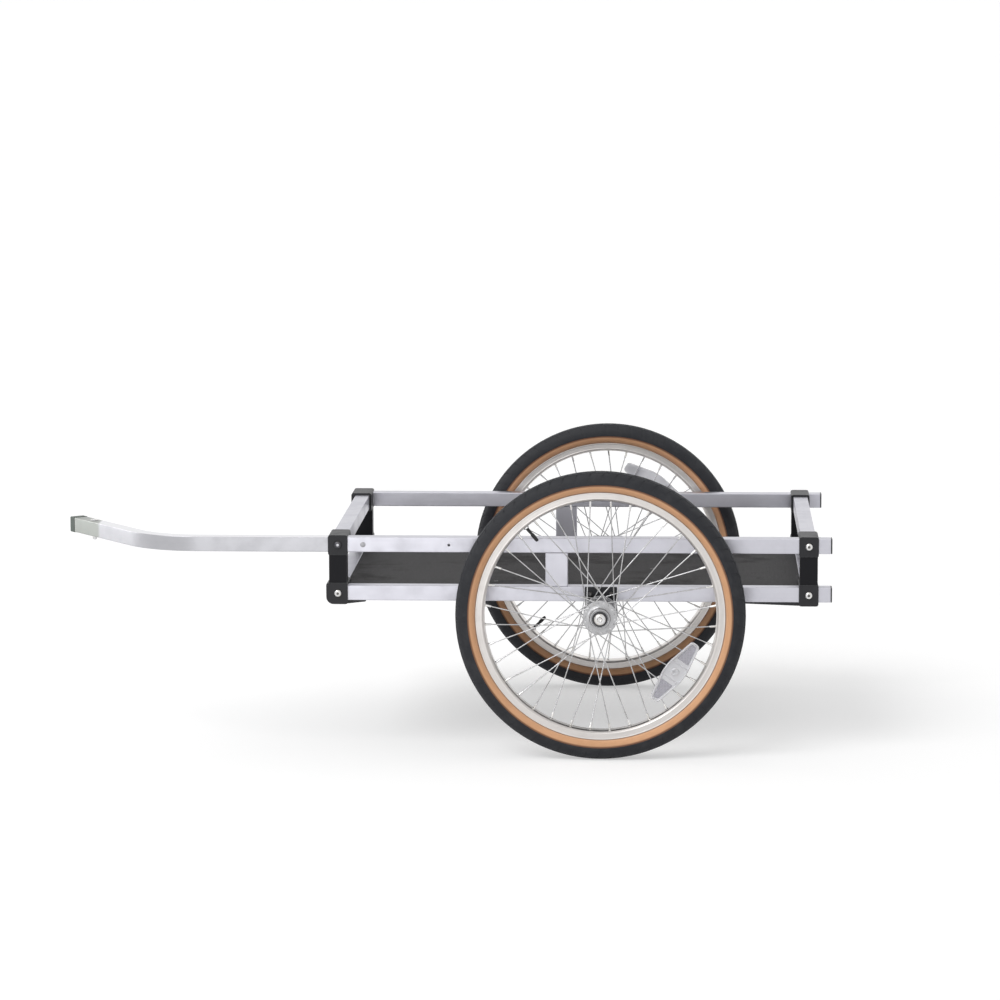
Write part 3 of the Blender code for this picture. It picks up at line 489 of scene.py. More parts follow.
def rim_metal():
    metal = Finish("machined_rim_aluminium", "rim_aluminium", {"Metallic": 1.0})
    reach, turn, along = metal.polar()
    rings = metal.noise(metal.scaled(metal.vector(reach, along, turn), RIM_RINGS), detail=3)
    past_track = metal.ramp(reach, TRACK_HIGH, TRACK_HIGH + TRACK_FADE)
    on_track = metal.ramp(reach, TRACK_LOW, TRACK_LOW + TRACK_FADE) * (1 - past_track)
    rubbed = metal.patches(metal.scaled(metal.vector(reach, turn, along), RUBBED), 0.35, 0.7)
    film = metal.patches(metal.spot(), 0.45, 0.75, scale=RIM_FILM, detail=4, rough=0.6)
    tone = metal.mix(on_track * (0.35 + rubbed * 0.3), RIM_TONE, TRACK_TONE)
    metal.coat({
        "Base Color": metal.mix(film * 0.18, tone, RIM_FILM_TONE),
        "Roughness": 0.24 + rings * 0.10 + on_track * 0.08 + film * 0.10,
        "Normal": metal.bump(rings, RIM_RING_DEPTH)})
    return metal


def polished_hub():
    metal = Finish("polished_hub_aluminium", "hub_aluminium", {"Metallic": 1.0})
    reach, _, along = metal.polar()
    rings = metal.noise(metal.scaled(metal.vector(reach, along, 0), HUB_RINGS))
    film = metal.patches(metal.spot(), 0.45, 0.75, scale=HUB_FILM, detail=4, rough=0.65)
    metal.coat({
        "Base Color": metal.mix(film * 0.35, HUB_TONE, HUB_FILM_TONE),
        "Roughness": 0.20 + rings * 0.08 + film * 0.16,
        "Normal": metal.bump(rings, RING_DEPTH)})
    return metal


def drawn_wire():
    metal = Finish("drawn_stainless_wire", "hub_aluminium", {"Metallic": 1.0})
    cloud = metal.patches(metal.spot(), 0.4, 0.7, scale=WIRE_CLOUD, detail=4, rough=0.6)
    speck = metal.noise(metal.spot(), WIRE_SPECK)
    metal.coat({
        "Base Color": metal.mix(cloud, WIRE_TONE, WIRE_DULL_TONE),
        "Roughness": 0.22 + cloud * 0.12 + speck * 0.06,
        "Normal": metal.bump(speck, WIRE_SPECK_DEPTH)})
    return metal


rim_aluminium, hub_aluminium, spoke_wire = rim_metal(), polished_hub(), drawn_wire()

# %% [markdown]
# ## Tyre rubber
# The tread is black rubber, greyed by patches of dust. The wall is tan: thin rubber over cotton, so
# the crossed threads show through. It browns at the tread's edge and pales at the rim. The threads
# run at a slant in both directions, so two sine waves in distance and angle draw them.

# %% Tyre finishes
TREAD_EDGE, WALL_FOOT = 0.2230, 0.2100
BROWN_FROM, BROWN_TO = TREAD_EDGE - 0.0042, TREAD_EDGE - 0.0010
PALE_TO, PALE_FROM = WALL_FOOT - 0.0005, WALL_FOOT + 0.0030
THREADS, THREAD_RISE, THREAD_DEPTH = 460, 5200, 0.00012
TAN_DARK, TAN_LIGHT, TAN_AGED = (0.70, 0.38, 0.205), (0.79, 0.45, 0.255), (0.60, 0.31, 0.16)
TAN_PALE, TAN_BROWN = (0.80, 0.56, 0.40), (0.11, 0.045, 0.03)
TREAD_TONE, TREAD_DUST_TONE = (0.014, 0.015, 0.019), (0.060, 0.061, 0.066)
GRIT, GRIT_DEPTH = 1300, 0.00010
TREAD_DUST, DUST_DEPTH, WALL_BLOTCH = (60, 7, 60), 0.0002, (90, 9, 0)


def tread_rubber():
    rubber = Finish("black_tread_rubber", "tyre", {"Metallic": 0.0, "Specular IOR Level": 0.35})
    reach, turn, along = rubber.polar()
    cloud = rubber.noise(rubber.scaled(rubber.vector(reach, turn, along), TREAD_DUST), detail=4, rough=0.6)
    grit = rubber.noise(rubber.spot(), GRIT)
    dust = rubber.ramp(cloud, 0.42, 0.75)
    rubber.coat({
        "Base Color": rubber.mix(dust * 0.55, TREAD_TONE, TREAD_DUST_TONE),
        "Roughness": 0.56 + dust * 0.22 + grit * 0.08,
        "Normal": rubber.bump(grit, GRIT_DEPTH, rubber.bump(cloud, DUST_DEPTH))})
    return rubber


def tan_wall():
    wall = Finish("tan_cotton_side_wall", "tyre", {"Metallic": 0.0, "Specular IOR Level": 0.30})
    reach, turn, _ = wall.polar()
    lay_one = (reach * THREAD_RISE + turn * THREADS).math("SINE")
    lay_two = (reach * THREAD_RISE - turn * THREADS).math("SINE")
    cloth = (lay_one + lay_two) * 0.25 + 0.5
    brown = wall.ramp(reach, BROWN_FROM, BROWN_TO)
    pale = 1 - wall.ramp(reach, PALE_TO, PALE_FROM)
    blotch = wall.patches(wall.scaled(wall.vector(reach, turn, 0), WALL_BLOTCH), 0.4, 0.72,
                          detail=4, rough=0.6)
    aged = wall.mix(blotch * 0.35, wall.mix(cloth, TAN_DARK, TAN_LIGHT), TAN_AGED)
    edged = wall.mix(pale * 0.6, aged, TAN_PALE)
    wall.coat({
        "Base Color": wall.mix(brown * 0.85, edged, TAN_BROWN),
        "Roughness": 0.62 + cloth * 0.08,
        "Normal": wall.bump(cloth, THREAD_DEPTH)})
    return wall


black_tread, tan_side_wall = tread_rubber(), tan_wall()

# %% [markdown]
# ## Small wheel finishes
# Bearing seals, the valve, the inner tube and the clear reflector each get a short recipe. The
# reflector is clear plastic gone milky, so a third of it is transmission and the rest a pale skin.
# Rows of small prisms make it sparkle. They are crossed saw-tooth heights on the lens panels alone.

# %% Seal, valve, tube and reflector
PRISM, PRISM_DEPTH = 0.0024, 0.0007
HAZE, HAZE_DEPTH = 140, 0.0001
RUBBER_GRIT, RUBBER_GRIT_DEPTH, RUBBER_CLOUD, RUBBER_DUST_TONE = 900, 0.00005, 120, 2.5
LENS_CLEAR, LENS_TONES = 0.30, ((0.72, 0.70, 0.78), (0.56, 0.555, 0.61))
FRAME_CLEAR, FRAME_TONES = 0.35, ((0.95, 0.95, 0.97), (0.88, 0.88, 0.92))


def soft_black(name, slot, tone, rough):
    rubber = Finish(name, slot, {"Metallic": 0.0, "Specular IOR Level": 0.4})
    grit = rubber.noise(rubber.spot(), RUBBER_GRIT, detail=3)
    cloud = rubber.patches(rubber.spot(), 0.4, 0.75, scale=RUBBER_CLOUD)
    rubber.coat({
        "Base Color": rubber.mix(cloud * 0.4, tone, shade(tone, RUBBER_DUST_TONE)),
        "Roughness": rough + cloud * 0.15,
        "Normal": rubber.bump(grit, RUBBER_GRIT_DEPTH)})
    return rubber


def clear_plastic(name, clear, tones, prisms=False):
    lens = Finish(name, "clear_plastic", {"Metallic": 0.0, "IOR": 1.49, "Transmission Weight": clear})
    x, y, _ = lens.parts(lens.spot())
    haze = lens.noise(lens.spot(), HAZE, detail=4, rough=0.6)
    height = haze * 0.1
    if prisms:
        height = height + (x / PRISM).math("PINGPONG", 1) * (y / PRISM).math("PINGPONG", 1)
    lens.coat({
        "Base Color": lens.mix(haze, *tones),
        "Roughness": 0.08 + lens.ramp(haze, 0.4, 0.7) * 0.14,
        "Normal": lens.bump(height, PRISM_DEPTH if prisms else HAZE_DEPTH)})
    return lens


seal_rubber = soft_black("black_bearing_seal", "bearing_steel", (0.040, 0.040, 0.043), 0.40)
race_steel = plated("ground_bearing_steel", "bearing_steel", (0.42, 0.42, 0.43), (0.36, 0.36, 0.38), 0.20)
valve_black = soft_black("black_valve_rubber", "tube_rubber", (0.014, 0.014, 0.015), 0.45)
tube_rubber = soft_black("butyl_tube_rubber", "tube_rubber", (0.020, 0.020, 0.021), 0.55)
clear_frame = clear_plastic("clear_reflector_frame", FRAME_CLEAR, FRAME_TONES)
prism_lens = clear_plastic("prism_reflector_lens", LENS_CLEAR, LENS_TONES, prisms=True)

# %% [markdown]
# ## Deck board
# The deck is guessed as the usual film-faced plywood, with a pressed wire pattern against slipping
# and edges that show the plies through dark paint. Its film is dark, and is painted nearly black,
# darker than such film is: painted shade. The pattern is a fine diamond net. Two sets of slanted
# lines make it, each from one saw-tooth wave, deep enough to catch the light.

# %% Deck board
NET, NET_DEPTH, PLY = 0.0065, 0.0004, 0.0012
WEAR, SCRATCHES = 9, (14, 420, 1)
# Painted shade: the film's tones are darker than the film itself.
SHADED_FILM_TONE, SHADED_WORN_FILM_TONE, SCRATCH_TONE = (0.010, 0.009, 0.010), (0.026, 0.024, 0.024), (0.10, 0.09, 0.08)
EDGE_TONE, PLY_TONE = (0.016, 0.015, 0.015), (0.050, 0.038, 0.030)


def film_faced_board():
    board = Finish("film_faced_plywood_painted_shade", "deck", {"Metallic": 0.0, "Specular IOR Level": 0.12})
    x, y, z = board.parts(board.spot())
    level = board.ramp(board.parts(board.facing())[2].math("ABSOLUTE"), 0.5, 0.9)
    net = ((x + y) / NET).math("PINGPONG", 1).math("MINIMUM", ((x - y) / NET).math("PINGPONG", 1))
    wires = 1 - board.ramp(net, 0.08, 0.34)
    plies = ((z / PLY).math("PINGPONG", 1) > 0.5) * (1 - level)
    wear = board.patches(board.spot(), 0.48, 0.75, scale=WEAR, detail=5, rough=0.65)
    scratch = board.patches(board.scaled(board.spot(), SCRATCHES), 0.66, 0.74, rough=0.7)
    film = board.mix(wear * 0.5, SHADED_FILM_TONE, SHADED_WORN_FILM_TONE)
    edge = board.mix(plies * 0.5, EDGE_TONE, PLY_TONE)
    board.coat({
        "Base Color": board.mix(scratch * level * 0.4, board.mix(level, edge, film), SCRATCH_TONE),
        "Roughness": 0.58 + wear * 0.22 - wires * 0.08,
        "Normal": board.bump(wires * level + plies * 0.2, NET_DEPTH)})
    return board


deck_board = film_faced_board()

# %% [markdown]
# ## Making meshes from rings
# A bar, a tyre and a bolt are the same idea: rings of points joined by quads. One function joins
# them and writes the grain map, metres along and metres round, on the way. A drawn outline with its
# corners eased gives every moulded or turned edge its small radius before it is ever a solid. A
# cutter runs past the surface that it opens, by `OVERSHOOT` where nothing else says how far.

# %% Mesh tools
LONGEST_EASE = 0.45
SAME_SPOT, LEVEL_WITH = 1e-7, 1e-5
X_UP, Z_UP = (1, 0, 0), (0, 0, 1)
OVERSHOOT = 5 * MM


def on_circle(reach, turn, z=0.0):
    """Point at a distance and an angle from the Z axis."""
    return Vector((reach * math.cos(turn), reach * math.sin(turn), z))


def short_curve(start, corner, end, steps):
    """Points of the curve from start to end that is pulled towards the corner."""
    shares = [step / steps for step in range(steps + 1)]
    return [start * (1 - t) ** 2 + corner * 2 * t * (1 - t) + end * t * t for t in shares]


def eased(outline, radius, steps):
    """The closed outline with each corner replaced by a short curve."""
    points = [Vector(p) for p in outline]
    smooth = []
    for i, here in enumerate(points):
        before, after = points[i - 1] - here, points[(i + 1) % len(points)] - here
        start = here + before.normalized() * min(radius, before.length * LONGEST_EASE)
        end = here + after.normalized() * min(radius, after.length * LONGEST_EASE)
        smooth += [tuple(p) for p in short_curve(start, here, end, steps)]
    return smooth


def loft(bm, rings, ring_closed=True, looped=False):
    """Quads between rings of points, with metres along and round in the grain map."""
    grain = bm.loops.layers.uv.get("grain") or bm.loops.layers.uv.new("grain")
    rings = [[Vector(p) for p in ring] for ring in rings]
    rows = [[bm.verts.new(p) for p in ring] for ring in rings]
    count = len(rows[0])
    around = [0.0]
    for i in range(count):
        around.append(around[-1] + (rings[0][(i + 1) % count] - rings[0][i]).length)
    along = [0.0]
    for one, two in zip(rings, rings[1:] + rings[:1]):
        along.append(along[-1] + sum((b - a).length for a, b in zip(one, two)) / count)
    for r in range(len(rows) if looped else len(rows) - 1):
        one, two = rows[r], rows[(r + 1) % len(rows)]
        for i in range(count if ring_closed else count - 1):
            j = (i + 1) % count
            face = bm.faces.new((one[i], one[j], two[j], two[i]))
            spots = ((along[r], around[i]), (along[r], around[i + 1]),
                     (along[r + 1], around[i + 1]), (along[r + 1], around[i]))
            for corner, spot in zip(face.loops, spots):
                corner[grain].uv = spot
    if not looped:
        bm.faces.new(rows[0][::-1])
        bm.faces.new(rows[-1])


def turned(profile, steps, on_axis=False):
    """Outline of (radius, height) turned about Z, left open where it starts and ends on the axis."""
    bm = bmesh.new()
    turns = [2 * math.pi * step / steps for step in range(steps)]
    rings = [[on_circle(r, turn, z) for r, z in profile] for turn in turns]
    loft(bm, rings, ring_closed=not on_axis, looped=True)
    bmesh.ops.remove_doubles(bm, verts=bm.verts, dist=SAME_SPOT)
    return bm


def frame_at(point, along, up):
    """Matrix whose Z runs along and whose Y is as near as can be to up."""
    z = Vector(along).normalized()
    x = Vector(up).cross(z).normalized()
    axes = Matrix((x, z.cross(x), z)).transposed()
    return Matrix.LocRotScale(Vector(point), axes.to_quaternion(), None)


def rod(bm, points, radius, sides, up=X_UP):
    """Round bar along points. The radius is one number or one for each point. Up turns its rings."""
    points = [Vector(p) for p in points]
    radii = radius if isinstance(radius, (list, tuple)) else [radius] * len(points)
    turns = [2 * math.pi * k / sides for k in range(sides)]
    rings = []
    for i, point in enumerate(points):
        along = points[min(i + 1, len(points) - 1)] - points[max(i - 1, 0)]
        place = frame_at(point, along, up)
        rings.append([place @ on_circle(radii[i], turn) for turn in turns])
    loft(bm, rings)


def spindle(bm, start, out, outline, sides):
    """Round piece from an outline of (distance along out, radius), both in millimetres."""
    rod(bm, [start + out * reach * MM for reach, _ in outline], [r * MM for _, r in outline], sides, Z_UP)


def plate(bm, outline, base, height, axis=2):
    """Prism with the outline across the given axis."""
    def lifted(level):
        ring = [list(p) for p in outline]
        for p in ring:
            p.insert(axis, level)
        return ring

    loft(bm, [lifted(base), lifted(base + height)])


def block(bm, low, high):
    """Box between two corners."""
    low, high = Vector(low), Vector(high)
    matrix = Matrix.Translation((low + high) / 2) @ Matrix.Diagonal((*(high - low), 1))
    bmesh.ops.create_cube(bm, size=1, matrix=matrix)


print("mesh tools ready")

# %% [markdown]
# ## From mesh to piece
# A piece needs more than a mesh: a name, a finish, smooth shading that stops at real edges, a body to
# ride on, and the solids that it stands for. Weighted normals keep the wide flats flat next to small
# rounded edges. Holes and pockets are cut with the exact Boolean before the piece is placed. A piece
# of a wheel is made round the hub's centre, with Z along the axle, and then carried to its side.

# %% Piece tools
def as_object(name, bm):
    """Object in the scene that holds the mesh, with its faces turned outward."""
    bmesh.ops.recalc_face_normals(bm, faces=bm.faces)
    mesh = bpy.data.meshes.new(name)
    bm.to_mesh(mesh)
    bm.free()
    obj = bpy.data.objects.new(name, mesh)
    bpy.context.scene.collection.objects.link(obj)
    return obj


def cut(bm, tool, operation="DIFFERENCE", overlapping=False):
    """The mesh with the tool's mesh taken out of it, or joined to it."""
    base, knife = as_object("blank", bm), as_object("knife", tool)
    boolean = base.modifiers.new("cut", "BOOLEAN")
    boolean.operation, boolean.object, boolean.solver = operation, knife, "EXACT"
    boolean.use_self = overlapping
    bpy.context.view_layer.update()
    result = bmesh.new()
    shown = base.evaluated_get(bpy.context.evaluated_depsgraph_get())
    result.from_mesh(shown.to_mesh())
    shown.to_mesh_clear()
    for obj in (base, knife):
        mesh = obj.data
        bpy.data.objects.remove(obj)
        bpy.data.meshes.remove(mesh)
    bmesh.ops.remove_doubles(result, verts=result.verts, dist=SAME_SPOT)
    return result


def ease_edges(bm, width, steps=2, angle=40, where=lambda edge: True):
    """Bevel the edges that are sharper than the angle."""
    chosen = [e for e in bm.edges if len(e.link_faces) == 2
              and e.calc_face_angle(0) > math.radians(angle) and where(e)]
    bmesh.ops.bevel(bm, geom=chosen, offset=width, segments=steps, profile=0.5,
                    affect="EDGES", clamp_overlap=True)


SHARP_FROM = 32
counted = {}


def piece(name, bm, finishes, body, *nodes, place=None, sharp=SHARP_FROM):
    """Finished piece on its body, standing for the given solids."""
    obj = as_object(f"{name}.fine", bm)
    finishes = finishes if isinstance(finishes, (list, tuple)) else [finishes]
    for finish in finishes:
        obj.data.materials.append(finish.material)
    obj.data.shade_smooth()
    obj.data.set_sharp_from_angle(angle=math.radians(sharp))
    normals = obj.modifiers.new("flat_faces_stay_flat", "WEIGHTED_NORMAL")
    normals.keep_sharp = True
    if place:
        obj.matrix_world = place
    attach(obj, body)
    if nodes:
        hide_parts(*nodes)
    counted[obj.name] = len(obj.data.polygons)
    return obj


FACING = {side: Matrix.Rotation(-side * QUARTER, 4, "X") for side in SIDES.values()}


def wheel_place(label):
    """Hub centre, with Z along the axle and away from the frame."""
    return Matrix.Translation(hub_at[label]) @ FACING[SIDES[label]]


def wheel_piece(label, name, bm, finishes, extra=False, sharp=SHARP_FROM):
    """Piece that turns with a wheel, made in the hub's own axes. An extra one stands for no solid."""
    nodes = [] if extra else [f"{label}_{name}"]
    return piece(f"{label}_{name}", bm, finishes, f"{label}_wheel", *nodes,
                 place=wheel_place(label), sharp=sharp)


print("piece tools ready")

# %% [markdown]
# ## Square tubes
# Rails, cross rails, posts and floor bars are cut from square tube. Each one is lofted between the
# ends of its own solid, with corners rounded as a die rounds them, a real wall inside and a broken
# edge at each cut. The bolt holes go where the bolts' solids are. The spigot is a smaller tube inside
# the left top rail and the tow bar, and holds the two in line.

# %% Tube tools
WALL = 1.6 * MM
DIE_CORNER, INNER_CORNER, CORNER_STEPS = 1.3 * MM, 0.35 * MM, 3
CUT_EDGE = 0.25 * MM
FRAME = "trailer_frame"
QUADRANTS = ((1, 1), (-1, 1), (-1, -1), (1, -1))


def square_ring(width, height, corner):
    """Rounded rectangle about the origin."""
    ring = []
    for quarter, (sx, sy) in enumerate(QUADRANTS):
        for step in range(CORNER_STEPS + 1):
            angle = QUARTER * (quarter + step / CORNER_STEPS)
            ring.append((sx * (width / 2 - corner) + corner * math.cos(angle),
                         sy * (height / 2 - corner) + corner * math.sin(angle)))
    return ring


def square_tube(places, width, height, wall=WALL):
    """Hollow bar through the places, which are matrices with Z along the bar."""
    def skin(inset, matrices):
        corner = max(DIE_CORNER - inset, INNER_CORNER)
        ring = square_ring(width - 2 * inset, height - 2 * inset, corner)
        return [[m @ Vector((*p, 0)) for p in ring] for m in matrices]

    first, *between, last = places
    past_first = first @ Matrix.Translation((0, 0, CUT_EDGE))
    before_last = last @ Matrix.Translation((0, 0, -CUT_EDGE))
    outer = (skin(CUT_EDGE, [first]) + skin(0, [past_first, *between, before_last])
             + skin(CUT_EDGE, [last]))
    inner = skin(wall, [last, *reversed(between), first])
    bm = bmesh.new()
    loft(bm, outer + inner, looped=True)
    return bm


def straight_tube(node, wall=WALL, holes=()):
    """Tube that fills a solid's box. Holes are (point, axis, radius, length)."""
    low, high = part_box(node)
    size, middle = high - low, (low + high) / 2
    axis = max(range(3), key=lambda i: size[i])
    across, up = (axis + 1) % 3, (axis + 2) % 3
    along, upward = Vector(), Vector()
    along[axis] = upward[up] = 1
    places = [frame_at(middle + along * end * size[axis] / 2, along, upward) for end in (-1, 1)]
    bm = square_tube(places, size[across], size[up], wall)
    if holes:
        drill = bmesh.new()
        for point, direction, radius, length in holes:
            half = Vector(direction) * length / 2
            rod(drill, [Vector(point) - half, Vector(point) + half], radius, sides=20)
        bm = cut(bm, drill)
    return piece(node, bm, bare_aluminium, FRAME, node)


print("tube wall", WALL, "outer corner", DIE_CORNER)

# %% [markdown]
# ## Rails, cross rails, posts and floor bars
# On the real trailer these are lengths sawn from one stock tube and drilled where bolts pass. Loops
# make them from their solids, so the left and the right can't drift apart. A corner bolt needs a hole
# in the outer wall alone. The bracket bolts and the lock pin need one right through, and a spare hole
# behind the lock pin is a guess from the photograph.

# %% Rails, cross rails, posts and floor bars
SHANK = 3 * MM
BOLT_HOLE = SHANK + GAP
SPARE_HOLE_AHEAD, SPARE_HOLE = 257 * MM, 2.5 * MM
SPIGOT_WALL = 2 * MM
LEVELS = {"bottom": lower_z, "top": upper_z}


def outer_holes(side, z, places):
    """Bolt holes in a side rail's outer wall."""
    return [((x, side * (rail_y + tube_size / 2), z), (0, 1, 0), BOLT_HOLE, tube_size) for x in places]


def through_holes(side, z, spots):
    """Holes right through a side rail, at spots of (x, radius)."""
    return [((x, side * rail_y, z), (0, 1, 0), radius, 2 * tube_size) for x, radius in spots]


lock_spots = ((box_middle("tow_bar_lock_pin").x, BOLT_HOLE), (axle_x - SPARE_HOLE_AHEAD, SPARE_HOLE))
for label, side in SIDES.items():
    for level, z in LEVELS.items():
        holes = outer_holes(side, z, [box_middle(f"{label}_{level}_{end}_bolt").x for end in ENDS])
        if level == "bottom":
            bracket_bolts = [box_middle(f"{label}_{end}_bracket_bolt").x for end in ENDS]
            holes += through_holes(side, z, [(x, BOLT_HOLE) for x in bracket_bolts])
        elif label == "left":
            holes += through_holes(side, z, lock_spots)
        straight_tube(f"{label}_{level}_rail", holes=holes)
    straight_tube(f"{label}_side_post")
for end in ENDS:
    for part in ("bottom_cross_rail", "top_cross_rail", "floor_bar"):
        straight_tube(f"{end}_{part}")
straight_tube("tow_bar_spigot", SPIGOT_WALL,
              outer_holes(-1, upper_z, [joint_x["front"]]) + through_holes(-1, upper_z, lock_spots))
print("square tubes:", len(counted), "pieces,", sum(counted.values()), "faces")

# %% [markdown]
# ## Tow bar
# The tow bar is the same tube, drawn round a bend of 140 mm and cut square at its end. Real benders
# leave the corner a little fuller inside the bend, but the eye reads the smooth arc, so the bar is
# one loft with many rings through the bend. It ends in a grey-green plug and carries the hitch pin.

# %% Tow bar
BEND_AHEAD, BEND_RADIUS, BEND_ANGLE = 683 * MM, 140 * MM, math.radians(54)
BAR_TAIL = 202.5 * MM
BEND_STEPS = 27
PIN = 4 * MM

bar_y = -rail_y
bar_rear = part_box("tow_bar")[1].x
bend_x = axle_x - BEND_AHEAD
bar_places = [frame_at((bar_rear, bar_y, upper_z), (-1, 0, 0), Z_UP)]
for step in range(BEND_STEPS + 1):
    turn = BEND_ANGLE * step / BEND_STEPS
    spot = (bend_x - BEND_RADIUS * math.sin(turn), bar_y + BEND_RADIUS * (1 - math.cos(turn)), upper_z)
    bar_places.append(frame_at(spot, (-math.cos(turn), math.sin(turn), 0), Z_UP))
bar_along = Vector((-math.cos(BEND_ANGLE), math.sin(BEND_ANGLE), 0))
bar_end = bar_places[-1].translation + bar_along * BAR_TAIL
bar_places.append(frame_at(bar_end, bar_along, Z_UP))
pin_at = box_middle("hitch_pin")
pin_hole = bmesh.new()
rod(pin_hole, [(pin_at.x, pin_at.y, upper_z + z) for z in (-tube_size, tube_size)], PIN + GAP, sides=24)
bar = cut(square_tube(bar_places, tube_size, tube_size), pin_hole)
piece("tow_bar", bar, bar_aluminium_painted_light, FRAME, "tow_bar")
print("tow bar end at", [round(v, 4) for v in bar_end])

# %% [markdown]
# ## Corner connectors
# Each connector is one moulding: a sleeve round the top rail, one round the bottom rail, a web between
# them and short sleeves inward round the cross rails. It is drawn as a side outline, extruded across,
# eased along its outer edges, and then bored. The front ones close the rails' ends with a rounded
# nose, except where the tow bar goes in. A slim tongue stiffens the bottom rail from below.

# %% Corner connectors
SLEEVE_WALL = 3.5 * MM
SLEEVE_HALF = tube_size / 2 + GAP + SLEEVE_WALL
SLEEVE_DEPTH, SLEEVE_FLOOR = 55 * MM, 6 * MM
WEB_HALF, WEB_RECESS = 15 * MM, 1.5 * MM
NOSE, NOSE_RADIUS, NOSE_STEPS = 3.5 * MM, 12.5 * MM, 8
TONGUE, TONGUE_REACH = {"front": 30 * MM, "rear": 96 * MM}, 22 * MM
TONGUE_LIFT, TONGUE_TAPER = 0.4 * MM, 3.6 * MM
MOULD_EDGE, MOULD_CORNER, BORED_EDGE = 1.2 * MM, 4.2 * MM, 0.35 * MM
WEB_STEP, WEB_SPILL = 1 * MM, 2 * MM
CLOSED_LEVELS = {("left", "front"): ("bottom",), ("right", "front"): ("bottom", "top")}


def connector(label, end):
    side, joint = SIDES[label], joint_x[end]
    closed = CLOSED_LEVELS.get((label, end), ())
    nose_x = -SLEEVE_HALF - NOSE
    low, high = lower_z - tube_size / 2 - GAP - SLEEVE_FLOOR, upper_z + SLEEVE_HALF
    step_low, step_high = lower_z + SLEEVE_HALF, upper_z - SLEEVE_HALF
    front = {level: nose_x if level in closed else -SLEEVE_HALF for level in LEVELS}
    outline = [(front["top"], high), (SLEEVE_HALF, high), (SLEEVE_HALF, step_high),
               (WEB_HALF, step_high), (WEB_HALF, step_low), (SLEEVE_HALF, step_low), (SLEEVE_HALF, low)]
    if "bottom" in closed:
        for step in range(NOSE_STEPS + 1):
            angle = QUARTER * step / NOSE_STEPS
            outline.append((nose_x + NOSE_RADIUS * (1 - math.sin(angle)),
                            low + NOSE_RADIUS * (1 - math.cos(angle))))
    else:
        outline.append((front["bottom"], low))
    outline += [(front["bottom"], step_low), (-WEB_HALF, step_low), (-WEB_HALF, step_high),
                (front["top"], step_high)]
    outline = eased([(joint + x, z) for x, z in outline], MOULD_CORNER, steps=4)
    inner, outer = side * (rail_y - SLEEVE_DEPTH), side * (rail_y + SLEEVE_HALF)
    bm = bmesh.new()
    plate(bm, outline, inner, outer - inner, axis=1)
    bmesh.ops.recalc_face_normals(bm, faces=bm.faces)
    ease_edges(bm, MOULD_EDGE, steps=3, where=lambda e: abs(e.verts[0].co.z - step_low) > LEVEL_WITH
               or abs(e.verts[0].co.x - joint) > WEB_HALF + LEVEL_WITH)

    into_bed = -ENDS[end]
    start = joint + into_bed * (SLEEVE_HALF - 2 * MM)
    tip = joint + into_bed * (SLEEVE_HALF + TONGUE[end])
    rail_in, rail_out = rail_y - tube_size / 2, rail_y + tube_size / 2
    long_edge = side * (rail_out - 1.2 * MM)
    tongue = bmesh.new()
    plate(tongue, [(start, long_edge), (tip - into_bed * 1.5 * MM, long_edge),
                   (tip, side * (rail_out - 3 * MM)), (tip, side * (rail_in + 2 * MM)),
                   (start, side * (rail_in - TONGUE_REACH))],
          low + TONGUE_LIFT, SLEEVE_FLOOR - TONGUE_LIFT)
    for vert in tongue.verts:
        if vert.co.z < low + 1 * MM:
            vert.co.z += TONGUE_TAPER * min(1.0, abs(vert.co.x - start) / abs(tip - start))
    bm = cut(bm, tongue, "UNION")

    bore, beyond = tube_size / 2 + GAP, 2 * SLEEVE_HALF
    near, far = side * (rail_y - bore), side * (rail_y + bore)
    past = side * (rail_y - 2 * SLEEVE_DEPTH)
    bores = bmesh.new()
    for level, z in LEVELS.items():
        bore_from = joint + (nose_x + SLEEVE_WALL if level in closed else -beyond)
        plate(bores, [(bore_from, far), (joint + beyond, far), (joint + beyond, near),
                      (joint + bore, near), (joint + bore, past), (joint - bore, past),
                      (joint - bore, near), (bore_from, near)], z - bore, 2 * bore)
        rod(bores, [(joint, side * rail_y, z), (joint, outer + side * OVERSHOOT, z)], BOLT_HOLE, sides=24)
    bm = cut(bm, bores, overlapping=True)

    trim = bmesh.new()
    ys = sorted((side * rail_in, past))
    block(trim, (joint - beyond, ys[0], step_low), (joint + beyond, ys[1], step_high))
    ys = sorted((side * (rail_y + SLEEVE_HALF - WEB_RECESS), side * (rail_y + beyond)))
    block(trim, (joint - beyond, ys[0], step_low + WEB_STEP), (joint + beyond, ys[1], step_high - WEB_STEP))
    bm = cut(bm, trim)
    ease_edges(bm, BORED_EDGE, steps=1, angle=60)
    # The web's faces between the sleeves take the darker finish, a painted shade in the recess.
    web_from, web_to = step_low - WEB_SPILL, step_high + WEB_SPILL
    for face in bm.faces:
        between = step_low < face.calc_center_median().z < step_high
        if between and all(web_from < v.co.z < web_to for v in face.verts):
            face.material_index = 1
    node = f"{label}_{end}_connector"
    return piece(node, bm, [black_moulding, shaded_web_moulding], FRAME, node)


for label in SIDES:
    for end in ENDS:
        made = connector(label, end)
        print(made.name, "faces", len(made.data.polygons))

# %% [markdown]
# ## Bolts and pins
# The corner bolts are button heads with a hexagon socket. The head is a turned dome, and the socket
# is a real hexagon cut into it, since its dark middle is what shows in the photograph. Every turned
# piece is placed with its own Z along its axis, so that the turning rings run round it.

# %% Bolts and pins
# Dome rows are (share of the head's radius, share of its height).
BUTTON_DOME = ((1.0, 0.0), (1.0, 0.30), (0.97, 0.42), (0.88, 0.52), (0.6, 0.72), (0.3, 0.90), (0.0, 1.0))
DOME = ((1.0, 0.0), (1.0, 0.22), (0.955, 0.5), (0.84, 0.76), (0.66, 0.93), (0.46, 1.0), (0.0, 1.0))
BOLT_POINT, SOCKET_FLOOR = 0.4 * MM, 0.25


